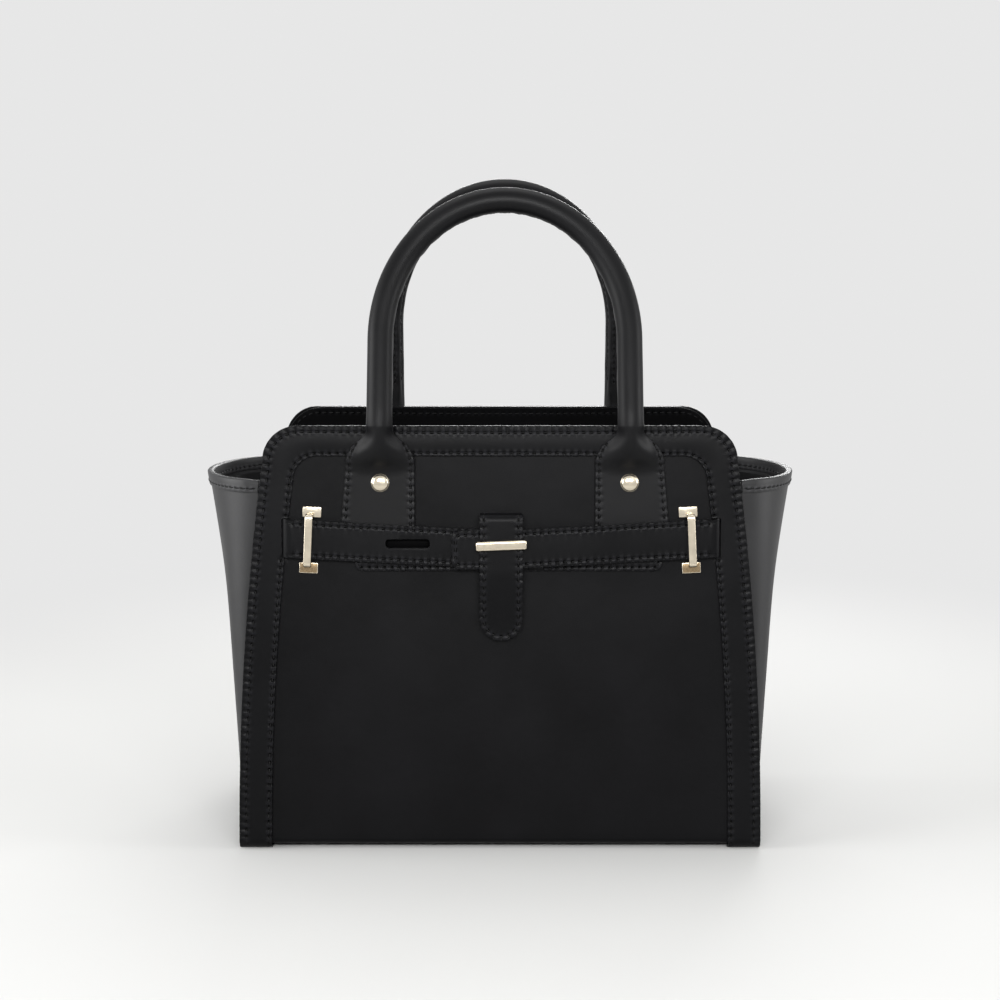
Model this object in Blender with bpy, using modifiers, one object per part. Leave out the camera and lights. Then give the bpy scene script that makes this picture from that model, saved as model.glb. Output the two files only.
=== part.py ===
"""A structured leather handbag with two rolled handles, winged sides and a belt closed by a tab.

Metres, +Z up. The front wall faces -Y and the origin is the middle of the underside.
A place on a wall is given as across (x), up its slope from the floor (s) and out from its face (n).
"""

import math

import bmesh
import bpy
from mathutils import Matrix, Vector

# Body
base_width = 0.300
base_depth = 0.150
top_depth = 0.122
wall_height = 0.2442
edge_draw = 0.018
top_corner_radius = 0.020
leather = 0.0018
clearance = 0.0003
weld = 0.00001
fold_radius = 0.004
panel_flap = 0.012

# Band sewn along the sides and the top of each wall
band_side_width = 0.0186
band_top_width = 0.017
band_inner_radius = 0.014
band_flap = 0.006

# Winged gussets
rim_drop = 0.0325
wing_reach = 0.0235
foot_inset = 0.0005
seam_setback = 0.0035
seam_flange = 0.008
gusset_fold_radius = 0.005
gusset_flap = 0.012
wing_power_share = 1.76
corner_share = 1.35
gusset_turn_step = 10
binding_widest_turn = 70
binding_leather = 0.0012
binding_height = 0.0065

# Inside
facing_step = 0.0018
facing_edge_setback = 0.0008
lining_drop = 0.0405
lining_cloth = 0.0008
board_end_gap = 0.0025

# Handles
handle_edge_distance = 0.0793
handle_shift = 0.0028
grip_radius = 0.0073
grip_leather = 0.002
leg_length = 0.050
arch_height = 0.0834
front_handle_lean = math.radians(20)
rear_handle_lean = math.radians(8)
pivot_above_wall = 0.001
pivot_gap = 0.0006

# Handle tabs
tab_width = 0.0392
tab_flare = 0.0036
tab_leather = 0.0024
tab_foot_above_belt = 0.0058
tab_foot_radius = 0.006
tab_neck_drop = 0.0025
tab_neck_length = 0.019
tab_swell = 0.0100
tab_swell_length = 0.020
tab_step_length = 0.006

# Rivets
rivet_drop = 0.0323
rivet_cap_radius = 0.00515
rivet_cap_rise = 0.0024
rivet_cap_edge = 0.0006
rivet_post_radius = 0.0015
rivet_socket_depth = 0.0012
rivet_washer_radius = 0.0045
rivet_washer_thickness = 0.0012

# Belt
belt_drop = 0.0703
belt_fall = math.radians(3)
strap_width = 0.0218
strap_leather = 0.002
strap_lift = 0.003
strap_fold_inset = 0.0158
strap_inner_length = 0.0065
strap_tip_overlap = 0.0275
strap_tip_radius = 0.005
strap_step_start = 0.048
strap_step_end = 0.076
strap_slot_length = 0.0254
strap_slot_height = 0.0054
spare_slot_distance = 0.0527
spare_slot_above_belt = 0.0036

# Patch behind the belt
patch_foot_below_belt = 0.0122
patch_top_above_belt = 0.0048
patch_end_distance = 0.0626
patch_shift = 0.0048
patch_corner_radius = 0.004

# Closing tab and its lock
lock_shift = 0.0007
lock_above_belt = 0.003
closing_tab_width = 0.0243
closing_tab_below_belt = 0.052
closing_tab_leather = 0.002
closing_fold_above_belt = 0.0209
closing_tab_tip_share = 0.06
closing_fall = 0.0045
closing_anchor_above_belt = 0.0051
closing_fold_open = math.radians(22)
bar_length = 0.029
bar_height = 0.0055
bar_thickness = 0.003
bar_bevel = 0.0012
bar_pin_spread = 0.014
pin_radius = 0.001
keeper_length = 0.0226
keeper_height = 0.0044
keeper_thickness = 0.001
lug_length = 0.0240
lug_height = 0.0046
back_plate_length = 0.034
back_plate_height = 0.012
back_plate_thickness = 0.001

# Belt staples
staple_inset = 0.0316
staple_above_belt = 0.0053
staple_tilt = math.radians(2.6)
staple_span = 0.0304
staple_bar_width = 0.0044
staple_bar_thickness = 0.002
staple_bend_radius = 0.0026
staple_room = 0.0018
plate_width = 0.0107
plate_height = 0.0062
plate_thickness = 0.0012
plate_spread = 0.0319
plate_bevel = 0.0003
backing_width = 0.008
backing_overhang = 0.003

# One overrun serves every cut
overrun = 0.002

# Colours as red, green, blue, then metallic and roughness
black_leather = (0.012, 0.012, 0.013, 0.0, 0.42)
grey_leather = (0.030, 0.030, 0.032, 0.0, 0.45)
lining_fabric = (0.020, 0.019, 0.018, 0.0, 0.90)
pale_gold = (0.80, 0.70, 0.52, 1.0, 0.22)
dull_steel = (0.45, 0.44, 0.42, 1.0, 0.35)
card_board = (0.25, 0.18, 0.11, 0.0, 0.85)

# Worked out from the sizes above
layer = leather + clearance
rim_half_width = base_width / 2 + wing_reach
foot_half_width = base_width / 2 - foot_inset
handle_spread = base_width - 2 * handle_edge_distance
patch_half_length = base_width / 2 - patch_end_distance
wall_lean = math.asin((base_depth - top_depth) / 2 / wall_height)
fold_turn = math.pi / 2 + wall_lean
fold_centre_z = layer + fold_radius
fold_centre_y = (fold_radius + fold_centre_z * math.sin(wall_lean)) / math.cos(wall_lean) - base_depth / 2
fold_start = (fold_centre_y + base_depth / 2) * math.sin(wall_lean) + fold_centre_z * math.cos(wall_lean)
fold_end = fold_start - fold_turn * fold_radius
pivot_height = wall_height + pivot_above_wall
rim_height = wall_height - rim_drop
lining_height = wall_height - lining_drop
rivet_height = wall_height - rivet_drop
belt_height = wall_height - belt_drop
tab_foot = belt_height + tab_foot_above_belt
spare_slot_height = belt_height + spare_slot_above_belt
patch_foot = belt_height - patch_foot_below_belt
patch_top = belt_height + patch_top_above_belt
lock_height = belt_height + lock_above_belt
closing_tab_foot = belt_height - closing_tab_below_belt
closing_fold_height = belt_height + closing_fold_above_belt
closing_anchor_foot = belt_height + closing_anchor_above_belt
staple_height = belt_height + staple_above_belt
facing_foot = staple_height + staple_span / 2 + backing_overhang + clearance
band_face = clearance + leather
pivot_out = band_face + clearance + grip_radius + clearance
tab_top = pivot_height - grip_radius - pivot_gap
tab_neck_top = wall_height - tab_neck_drop
gusset_floor = 2 * layer
gusset_fold_z = gusset_floor + gusset_fold_radius
lining_inset = clearance + strap_leather + clearance
left_face = strap_lift + strap_leather
right_face = left_face + clearance + strap_leather
closing_tab_back = right_face + clearance
closing_tab_face = closing_tab_back + closing_tab_leather
closing_fold_radius = (closing_tab_face - clearance) / 2
closing_fold_centre = closing_fold_height - closing_fold_radius
closing_axis_out = closing_tab_face - closing_tab_leather / 2


def shares(count, start=0.0, end=1.0):
    """Evenly spaced shares from start to end, both included."""
    return [start + (end - start) * i / count for i in range(count + 1)]


def smooth(share):
    """A soft step from 0 to 1."""
    held = min(max(share, 0.0), 1.0)
    return held * held * (3 - 2 * held)


def lay(x, s, n):
    """The point at x across, s up the slope of the front wall and n out from its face."""
    if s >= fold_start:
        y = s * math.sin(wall_lean) - n * math.cos(wall_lean) - base_depth / 2
        return Vector((x, y, s * math.cos(wall_lean) + n * math.sin(wall_lean)))
    turned = min((fold_start - s) / fold_radius, fold_turn)
    past = fold_start - s - turned * fold_radius
    reach = fold_radius + n
    y = fold_centre_y + past - reach * math.cos(wall_lean - turned)
    return Vector((x, y, fold_centre_z + reach * math.sin(wall_lean - turned)))


def wall_frame(x, s, n, turn=0.0):
    """A frame on the front wall: X across, Y up the slope, Z out, turned about Z."""
    out = Matrix.Rotation(math.pi / 2 - wall_lean, 4, "X")
    return Matrix.Translation(lay(x, s, n)) @ out @ Matrix.Rotation(turn, 4, "Z")


def edge_half(s):
    """Half the width of a wall at s, with its drawn-in sides and round top corners."""
    share = min(max(s / wall_height, 0.0), 1.0)
    half = base_width / 2 - edge_draw * share * share
    into_corner = s - (wall_height - top_corner_radius)
    if into_corner <= 0:
        return half
    into_corner = min(into_corner, top_corner_radius)
    return half - top_corner_radius + math.sqrt(top_corner_radius**2 - into_corner**2)


def inner_depth(z):
    """Distance from the middle of the bag to a wall's inner face at height z."""
    s = (z + leather * math.sin(wall_lean)) / math.cos(wall_lean)
    if s >= fold_start:
        return base_depth / 2 - s * math.sin(wall_lean) - leather * math.cos(wall_lean)
    reach = fold_radius - leather
    down = min(fold_centre_z - z, reach)
    return math.sqrt(reach * reach - down * down) - fold_centre_y


def wing_half(z):
    """Half the width over the wings at height z."""
    share = max(z, 0.0) / rim_height
    return foot_half_width + (rim_half_width - foot_half_width) * share**wing_power_share


def gusset_point(turn, z, inset=0.0, depth_inset=0.0):
    """A point of the right gusset's plan section, turn running from -90 to 90 degrees, front to rear.

    The section is half a superellipse. It is an ellipse at the wide rim, and its power
    grows as the wing gets flat, so that its corners stay as round as leather folds.
    """
    start = edge_half(z / math.cos(wall_lean)) - seam_setback
    reach = wing_half(z) - start
    depth = inner_depth(z) - clearance - depth_inset
    power = max(2.0, corner_share * depth / reach)
    side = math.copysign(abs(math.sin(turn)) ** (2 / power), turn)
    return Vector((start - inset + reach * math.cos(turn), depth * side, z))


def gusset_drawn_in(z):
    """How far the gusset's bottom fold draws its wall in at height z."""
    down = min(max(gusset_fold_z - z, 0.0), gusset_fold_radius)
    return gusset_fold_radius - math.sqrt(gusset_fold_radius**2 - down * down)


def strap_line(x, side):
    """Height of a strap's middle at x. It falls towards the centre of the bag."""
    return belt_height + math.tan(belt_fall) * max(side * x, 0.0)


def arc(centre_x, centre_y, radius, start, end, steps=5):
    """Points of an arc from one angle to another."""
    turns = [start + (end - start) * share for share in shares(steps)]
    return [(centre_x + radius * math.cos(turn), centre_y + radius * math.sin(turn)) for turn in turns]


# Scene and tools

for old in list(bpy.data.objects):
    bpy.data.objects.remove(old)

parts = bpy.data.collections.new("handbag")
cutters = bpy.data.collections.new("handbag_cutters")
bpy.context.scene.collection.children.link(parts)
bpy.context.scene.collection.children.link(cutters)
cutters.hide_render = True


def material(name, look):
    """A Principled material from a colour, a metallic value and a roughness."""
    made = bpy.data.materials.new(name)
    made.use_nodes = True
    shader = made.node_tree.nodes["Principled BSDF"]
    shader.inputs["Base Color"].default_value = (*look[:3], 1.0)
    shader.inputs["Metallic"].default_value = look[3]
    shader.inputs["Roughness"].default_value = look[4]
    return made


def empty(name, frame, parent=None):
    """An empty that carries pieces."""
    made = bpy.data.objects.new(name, None)
    parts.objects.link(made)
    made.parent = parent
    made.matrix_local = frame
    return made


front = empty("front_side", Matrix.Identity(4))
rear = empty("rear_side", Matrix.Rotation(math.pi, 4, "Z"))


def place(obj, name, look, parent, frame=None):
    """Names an object, gives it a material of its own and hangs it from its parent."""
    obj.name = name
    obj.data.name = name
    obj.data.materials.clear()
    obj.data.materials.append(material(name, look))
    for holder in list(obj.users_collection):
        holder.objects.unlink(obj)
    parts.objects.link(obj)
    obj.parent = parent
    obj.matrix_local = frame or Matrix.Identity(4)
    if obj.type == "MESH":
        obj.data.shade_smooth()
        obj.data.set_sharp_from_angle(angle=math.radians(35))
    return obj


def mesh_object(name, points, faces, look, parent, frame=None):
    """A mesh object from points and faces."""
    mesh = bpy.data.meshes.new(name)
    mesh.from_pydata([tuple(point) for point in points], [], faces)
    return place(bpy.data.objects.new(name, mesh), name, look, parent, frame)


def sheet(name, rows, thickness, look, parent, flip=False, frame=None):
    """An open grid of points, one list a row, given its thickness behind its face. None leaves a hole."""
    points, index = [], {}
    for r, row in enumerate(rows):
        for c, point in enumerate(row):
            if point is not None:
                index[r, c] = len(points)
                points.append(point)
    faces = []
    for r, c in index:
        corners = [(r, c), (r, c + 1), (r + 1, c + 1), (r + 1, c)]
        if all(corner in index for corner in corners):
            face = [index[corner] for corner in corners]
            faces.append(face[::-1] if flip else face)
    made = mesh_object(name, points, faces, look, parent, frame)
    skin = made.modifiers.new("thickness", "SOLIDIFY")
    skin.thickness = thickness
    skin.offset = -1
    skin.use_even_offset = True
    return made


def loft(name, rings, look, parent, frame=None):
    """Closed rings joined one to the next, with both ends capped."""
    size = len(rings[0])
    points = [point for ring in rings for point in ring]
    faces = [list(range(size))[::-1], [len(points) - size + i for i in range(size)]]
    for r in range(len(rings) - 1):
        for i in range(size):
            j = (i + 1) % size
            faces.append([r * size + i, r * size + j, (r + 1) * size + j, (r + 1) * size + i])
    made = mesh_object(name, points, faces, look, parent, frame)
    shell = bmesh.new()
    shell.from_mesh(made.data)
    bmesh.ops.recalc_face_normals(shell, faces=shell.faces)
    shell.to_mesh(made.data)
    shell.free()
    return made


def box(name, size, look, parent, frame, bevel=0.0):
    """A box centred on its frame, with rounded edges if asked."""
    mesh = bpy.data.meshes.new(name)
    shape = bmesh.new()
    bmesh.ops.create_cube(shape, size=1.0)
    bmesh.ops.scale(shape, vec=size, verts=shape.verts)
    shape.to_mesh(mesh)
    shape.free()
    made = place(bpy.data.objects.new(name, mesh), name, look, parent, frame)
    if bevel:
        rounding = made.modifiers.new("rounding", "BEVEL")
        rounding.width = bevel
        rounding.segments = 2
    return made


def turned(name, profile, look, parent, frame, steps=16):
    """A turned shape: a profile of radius and height, top to bottom, swept round Z."""
    mesh = bpy.data.meshes.new(name)
    mesh.from_pydata([(r, 0.0, h) for r, h in profile], [(i, i + 1) for i in range(len(profile) - 1)], [])
    made = place(bpy.data.objects.new(name, mesh), name, look, parent, frame)
    sweep = made.modifiers.new("turn", "SCREW")
    sweep.steps = steps
    sweep.render_steps = steps
    sweep.use_merge_vertices = True
    sweep.merge_threshold = weld
    return made


def outline(name, points, thickness, look, parent, frame):
    """A flat outline given its thickness, half to each side of its frame."""
    curve = bpy.data.curves.new(name, "CURVE")
    curve.dimensions = "2D"
    curve.fill_mode = "BOTH"
    curve.extrude = thickness / 2
    line = curve.splines.new("POLY")
    line.points.add(len(points) - 1)
    for held, (x, y) in zip(line.points, points):
        held.co = (x, y, 0.0, 1.0)
    line.use_cyclic_u = True
    return as_mesh(bpy.data.objects.new(name, curve), name, look, parent, frame)


def as_mesh(curve_object, name, look, parent, frame):
    """Turns a curve object into a closed mesh object."""
    bpy.context.scene.collection.objects.link(curve_object)
    graph = bpy.context.evaluated_depsgraph_get()
    mesh = bpy.data.meshes.new_from_object(curve_object.evaluated_get(graph))
    bpy.data.objects.remove(curve_object)
    shell = bmesh.new()
    shell.from_mesh(mesh)
    bmesh.ops.remove_doubles(shell, verts=shell.verts, dist=weld)
    shell.to_mesh(mesh)
    shell.free()
    return place(bpy.data.objects.new(name, mesh), name, look, parent, frame)


def tube(name, points, radius, look, parent, frame, radii=None):
    """A round tube along points, whose radius may change along the way."""
    curve = bpy.data.curves.new(name, "CURVE")
    curve.dimensions = "3D"
    curve.bevel_depth = radius
    curve.bevel_resolution = 4 if radii else 2
    curve.use_fill_caps = not radii
    line = curve.splines.new("POLY")
    line.points.add(len(points) - 1)
    for i, (held, point) in enumerate(zip(line.points, points)):
        held.co = (*point, 1.0)
        held.radius = radii[i] / radius if radii else 1.0
    return as_mesh(bpy.data.objects.new(name, curve), name, look, parent, frame)


def as_cutter(obj):
    """Moves an object to the cutters."""
    parts.objects.unlink(obj)
    cutters.objects.link(obj)
    obj.hide_render = True
    obj.display_type = "WIRE"
    return obj


def boolean(target, other, operation="DIFFERENCE"):
    """Cuts another object from the target, or joins it."""
    change = target.modifiers.new(other.name, "BOOLEAN")
    change.operation = operation
    change.object = other


def rod(name, radius, length, parent, frame, sides=12):
    """A round rod centred on its frame, kept with the cutters."""
    mesh = bpy.data.meshes.new(name)
    shape = bmesh.new()
    bmesh.ops.create_cone(
        shape, cap_ends=True, segments=sides, radius1=radius, radius2=radius, depth=length
    )
    shape.to_mesh(mesh)
    shape.free()
    return as_cutter(place(bpy.data.objects.new(name, mesh), name, pale_gold, parent, frame))


def drill(targets, name, radius, length, parent, frame):
    """Cuts one round hole through pieces that share this length about the frame."""
    tool = rod(name, radius, length + 2 * overrun, parent, frame)
    for target in targets:
        boolean(target, tool)


# Body pieces


def wall_rows(foot, top, half, n):
    """Rows of three points across a wall, from foot to top, close together where it bends."""
    heights = [foot] if foot < fold_end else []
    heights += [s for s in shares(6, fold_end, fold_start) if s >= foot]
    heights += shares(5, max(fold_start, foot), top - top_corner_radius)[1 if foot < fold_start else 0:]
    turns = [math.pi / 2 * share for share in shares(6)[1:]]
    heights += [top - top_corner_radius + top_corner_radius * math.sin(turn) for turn in turns]
    return [[lay(side * half(s), s, n) for side in (-1, 0, 1)] for s in heights]


def panel(name, parent):
    """A wall with its bottom folded in under the bag."""
    rows = wall_rows(fold_end - panel_flap, wall_height, edge_half, 0.0)
    return sheet(name, rows, leather, black_leather, parent)


def band_edges():
    """Outer and inner edge of the band's right half, from under the bag to the middle of the top."""
    edges = []
    corner_foot = wall_height - top_corner_radius
    inner_corner = wall_height - band_top_width - band_inner_radius
    heights = [fold_end - band_flap] + shares(6, fold_end, fold_start)
    for s in heights + shares(6, fold_start, inner_corner)[1:]:
        edges.append((edge_half(s), s, edge_half(s) - band_side_width, s))
    corner_x = edge_half(corner_foot) - top_corner_radius
    inner_x = edge_half(inner_corner) - band_side_width - band_inner_radius
    outer = [(edge_half(corner_foot), corner_foot)]
    outer += arc(corner_x, corner_foot, top_corner_radius, 0.0, math.pi / 2, 6)[1:]
    inner = arc(inner_x, inner_corner, band_inner_radius, 0.0, math.pi / 2, 6)
    edges += [(*o, *i) for o, i in zip(outer, inner)]
    edges.append((0.0, wall_height, 0.0, wall_height - band_top_width))
    return edges


def band(name, parent):
    """The band that frames the sides and top of a wall."""
    right = band_edges()
    path = [(-outer_x, outer_s, -inner_x, inner_s) for outer_x, outer_s, inner_x, inner_s in right]
    path += right[-2::-1]
    rows = [[lay(*edges[:2], band_face), lay(*edges[2:], band_face)] for edges in path]
    return sheet(name, rows, leather, black_leather, parent)


def facing(name, parent):
    """The leather facing inside the top of a wall, cut back below the rim to clear the gusset seams."""
    face = -layer
    rim = rim_height / math.cos(wall_lean) + 2 * clearance
    narrow = seam_setback + seam_flange + 2 * clearance
    heights = [(facing_foot, narrow), (rim, narrow), (rim + facing_step, facing_edge_setback)]
    top = wall_height - facing_edge_setback
    foot = top - top_corner_radius
    heights += [(s, facing_edge_setback) for s in shares(2, rim + facing_step, foot)[1:]]
    turns = [math.pi / 2 * share for share in shares(6)[1:]]
    heights += [(foot + top_corner_radius * math.sin(turn), facing_edge_setback) for turn in turns]
    rows = [[lay(side * (edge_half(s) - back), s, face) for side in (-1, 0, 1)] for s, back in heights]
    return sheet(name, rows, leather, black_leather, parent)


def gusset_turns(widest):
    """The turns at which a gusset's section is drawn, up to the widest, in degrees."""
    return [math.radians(turn) for turn in range(-widest, widest + 1, gusset_turn_step)]


def gusset_rows():
    """Rows of the right gusset's outer face, from its bottom flap up to the rim."""
    turns = gusset_turns(90)
    rows = []
    inward = gusset_fold_radius + gusset_flap
    flat = [gusset_point(turn, gusset_floor) for turn in turns]
    rows.append([None] + [point - Vector((inward, 0.0, 0.0)) for point in flat] + [None])
    for down in (90, 60, 30):
        z = gusset_fold_z - gusset_fold_radius * math.sin(math.radians(down))
        pull = Vector((gusset_drawn_in(z), 0.0, 0.0))
        rows.append([None] + [gusset_point(turn, z) - pull for turn in turns] + [None])
    for z in shares(7, gusset_fold_z, rim_height - binding_height) + [rim_height]:
        row = [gusset_point(turn, z) for turn in turns]
        ends = [point - Vector((seam_flange, 0.0, 0.0)) for point in (row[0], row[-1])]
        rows.append([ends[0], *row, ends[1]])
    return rows


def mirrored(rows, side):
    """Rows of points, mirrored across the middle of the bag for the left side."""
    return [[p and Vector((side * p.x, p.y, p.z)) for p in row] for row in rows]


def gusset(name, side):
    """A side wall that opens out into a wing, with flanges inside the walls and a flap on the floor."""
    return sheet(name, mirrored(gusset_rows(), side), leather, grey_leather, front, flip=side < 0)


def binding(name, side):
    """The strip folded over a gusset's rim."""
    outer = clearance + binding_leather
    inner = -leather - clearance
    foot = rim_height - binding_height
    top = rim_height + 2 * clearance
    profile = [
        (outer, foot), (outer, top + binding_leather), (inner - binding_leather, top + binding_leather),
        (inner - binding_leather, foot), (inner, foot), (inner, top), (clearance, top), (clearance, foot),
    ]
    rings = []
    for turn in gusset_turns(binding_widest_turn):
        ring = []
        for out, z in profile:
            held = min(z, rim_height)
            here = gusset_point(turn, held)
            along = gusset_point(turn + clearance, held) - gusset_point(turn - clearance, held)
            normal = Vector((along.y, -along.x, 0.0)).normalized()
            point = here + normal * out
            ring.append(Vector((side * point.x, point.y, z)))
        rings.append(ring)
    return loft(name, rings, grey_leather, front)


def lining_ring(z):
    """One level of the lining's outer face, all the way round."""
    turns = gusset_turns(90)[::2]
    inset = 2 * layer + gusset_drawn_in(z)
    right = [gusset_point(turn, z, inset, lining_inset) for turn in turns]
    left = [Vector((-point.x, point.y, point.z)) for point in reversed(right)]
    return right + left


def lining():
    """The cloth bag inside, open at the top."""
    floor = 3 * layer
    rings = [lining_ring(z) for z in [floor] + shares(2, floor + layer, fold_centre_z + fold_radius)]
    rings += [lining_ring(z) for z in shares(4, fold_centre_z + fold_radius, lining_height)[1:]]
    size = len(rings[0])
    points = [point for ring in rings for point in ring]
    faces = [list(range(size))[::-1]]
    for r in range(len(rings) - 1):
        for i in range(size):
            j = (i + 1) % size
            faces.append([r * size + i, r * size + j, (r + 1) * size + j, (r + 1) * size + i])
    made = mesh_object("lining", points, faces, lining_fabric, front)
    skin = made.modifiers.new("thickness", "SOLIDIFY")
    skin.thickness = lining_cloth
    skin.offset = -1
    skin.use_even_offset = True


def base_pieces():
    """The outer base and the stiffening board between the folded walls."""
    base_half = -fold_centre_y - band_flap - clearance
    middle = Matrix.Translation((0.0, 0.0, leather / 2))
    size = (2 * edge_half(0.0) - 2 * clearance, 2 * base_half, leather)
    box("base_panel", size, black_leather, front, middle)
    board_half = -fold_centre_y - panel_flap - clearance
    lifted = Matrix.Translation((0.0, 0.0, layer + leather / 2))
    size = (2 * (foot_half_width - board_end_gap), 2 * board_half, leather)
    box("base_board", size, card_board, front, lifted)


# Handles


def tab_half(s):
    """Half the width of a handle tab, whose round shoulders draw in to the grip."""
    below = min(max((tab_neck_top - s) / tab_neck_length, 0.0), 1.0)
    neck = math.sin(math.pi / 2 * below)
    half = grip_radius + clearance + (tab_width / 2 - grip_radius - clearance) * neck
    into_corner = min(max(tab_foot + tab_foot_radius - s, 0.0), tab_foot_radius)
    return half - tab_foot_radius + math.sqrt(tab_foot_radius**2 - into_corner**2)


def tab_spread(s):
    """How far a tab's outer edge stands out from its straight inner one at s, below the shoulders."""
    shoulder = tab_neck_top - tab_neck_length
    return tab_flare * max(shoulder - s, 0.0) / (shoulder - tab_foot)


def tab_seat(s):
    """Height of a tab's back off the wall: on the wall below, on the band above."""
    step = wall_height - band_top_width - clearance - s
    return clearance + layer * (1 - smooth(step / tab_step_length))


def tab_face(across_share, s):
    """Height of a tab's face off the wall, swelling round the end of the rolled handle."""
    swell = tab_swell * smooth(1 - (pivot_height - s - grip_radius) / tab_swell_length)
    return tab_seat(s) + tab_leather + swell * (1 - across_share**2) ** 2


def handle_tab(name, x, outer, parent):
    """The tab that fastens one leg of a handle: flat where it is sewn, full at the top.

    Its edge on the outer side, given as -1 or 1, flares out towards the foot.
    """
    foot_turns = [math.pi / 2 * share for share in shares(4)]
    heights = [tab_foot + tab_foot_radius * (1 - math.cos(turn)) for turn in foot_turns]
    straight_end = tab_neck_top - tab_neck_length - tab_step_length
    heights += shares(2, heights[-1], straight_end)[1:] + shares(10, straight_end, tab_top)[1:]
    columns = shares(10, -1.0, 1.0)
    rings = []
    for s in heights:
        half = tab_half(s) + tab_spread(s) / 2
        middle = x + outer * tab_spread(s) / 2
        face = [lay(middle + half * share, s, tab_face(share, s)) for share in columns]
        back = [lay(middle + half * share, s, tab_seat(s)) for share in reversed(columns)]
        rings.append(face + back)
    return loft(name, rings, black_leather, parent)


def handle_path(shift):
    """The middle line of a handle above its pivots: straight legs and half an ellipse."""
    half = handle_spread / 2
    left = [Vector((shift - half, 0.0, leg_length * share)) for share in shares(2)[:-1]]
    arch = []
    for share in shares(20):
        turn = math.pi * (1 - share)
        arch.append(Vector((shift + half * math.cos(turn), 0.0, leg_length + arch_height * math.sin(turn))))
    right = [Vector((2 * shift - point.x, 0.0, point.z)) for point in reversed(left)]
    return left + arch + right


def handle(name, lean, shift, parent):
    """A rolled handle: a leather grip round a core, turning on the line through its two lower ends."""
    pivot = lay(0.0, pivot_height, pivot_out)
    frame = Matrix.Translation(pivot) @ Matrix.Rotation(-lean, 4, "X")
    carrier = empty(name + "_axis", frame, parent)
    path = handle_path(shift)
    ends = [math.radians(turn) for turn in (55, 38, 20)]
    points = [path[0] - Vector((0.0, 0.0, grip_radius * math.sin(turn))) for turn in ends]
    radii = [grip_radius * math.cos(turn) for turn in ends]
    points = points + path + [Vector((2 * shift - p.x, 0.0, p.z)) for p in reversed(points)]
    radii = radii + [grip_radius] * len(path) + radii[::-1]
    grip = tube(name + "_grip", points, grip_radius, black_leather, carrier, None, radii)
    skin = grip.modifiers.new("thickness", "SOLIDIFY")
    skin.thickness = grip_leather
    skin.offset = -1
    core_radius = grip_radius - grip_leather - 2 * clearance
    tube(name + "_core", path, core_radius, card_board, carrier, None)


def rivet(name, x, targets, parent):
    """A domed rivet: a cap outside and a post with a washer head inside."""
    seat = tab_face(0.0, rivet_height) + clearance
    socket = rivet_post_radius + clearance
    rim = rivet_cap_radius
    dome = [
        (rim * math.sin(turn), rivet_cap_edge + rivet_cap_rise * math.cos(turn))
        for turn in [math.pi / 2 * share for share in shares(4)]
    ]
    profile = dome + [(rim, 0.0), (socket, 0.0), (socket, rivet_socket_depth), (0.0, rivet_socket_depth)]
    turned(name + "_cap", profile, pale_gold, parent, wall_frame(x, rivet_height, seat))
    inside = -2 * layer - clearance
    top = seat + rivet_socket_depth - clearance - inside
    washer_face = -rivet_washer_thickness
    post = [
        (0.0, top), (rivet_post_radius, top), (rivet_post_radius, 0.0), (rivet_washer_radius, 0.0),
        (rivet_washer_radius, washer_face), (0.0, washer_face),
    ]
    turned(name + "_post", post, pale_gold, parent, wall_frame(x, rivet_height, inside))
    middle = wall_frame(x, rivet_height, (inside + seat) / 2)
    drill(targets, name + "_hole", socket, seat - inside, parent, middle)


# Belt


def strap_fold_x():
    """Where a strap turns in through its slit, at the inner edge of the band."""
    return edge_half(strap_line(base_width / 2, 1)) - strap_fold_inset


def strap_rows(side, face):
    """Rows of a strap's outer side, from its sewn end inside the wall, round the fold, to its tip."""
    inner_face = -layer - strap_leather
    bend = (left_face - inner_face) / 2
    start = strap_fold_x() - bend
    path = [(start - strap_inner_length, inner_face)]
    middle = (left_face + inner_face) / 2
    path += [(start + x, middle + n) for x, n in arc(0.0, 0.0, bend, -math.pi / 2, math.pi / 2, 10)]
    stops = shares(8, strap_step_end, strap_step_start) + [strap_slot_length, 0.0]
    path += [(x, face(x)) for x in stops]
    tip = -strap_tip_overlap
    turns = [math.pi / 2 * share for share in shares(4)]
    path += [(tip + strap_tip_radius * (1 - math.sin(turn)), face(tip)) for turn in turns]
    rows = []
    for x, n in path:
        into_tip = min(max(tip + strap_tip_radius - x, 0.0), strap_tip_radius)
        half = strap_width / 2 - strap_tip_radius + math.sqrt(strap_tip_radius**2 - into_tip**2)
        middle_height = strap_line(side * x, side)
        rows.append([lay(side * x, middle_height + across * half, n) for across in (-1, 0, 1)])
    return rows


def left_strap_face(x):
    """The left strap lies at one height all along."""
    return left_face


def right_strap_face(x):
    """The right strap steps up on to the left one near the middle of the bag."""
    share = (strap_step_end - x) / (strap_step_end - strap_step_start)
    return left_face + (right_face - left_face) * smooth(share)


def stadium(length, height):
    """A long outline with round ends."""
    radius = height / 2
    right = arc(length / 2 - radius, 0.0, radius, -math.pi / 2, math.pi / 2, 8)
    return right + [(-x, -y) for x, y in right]


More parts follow.
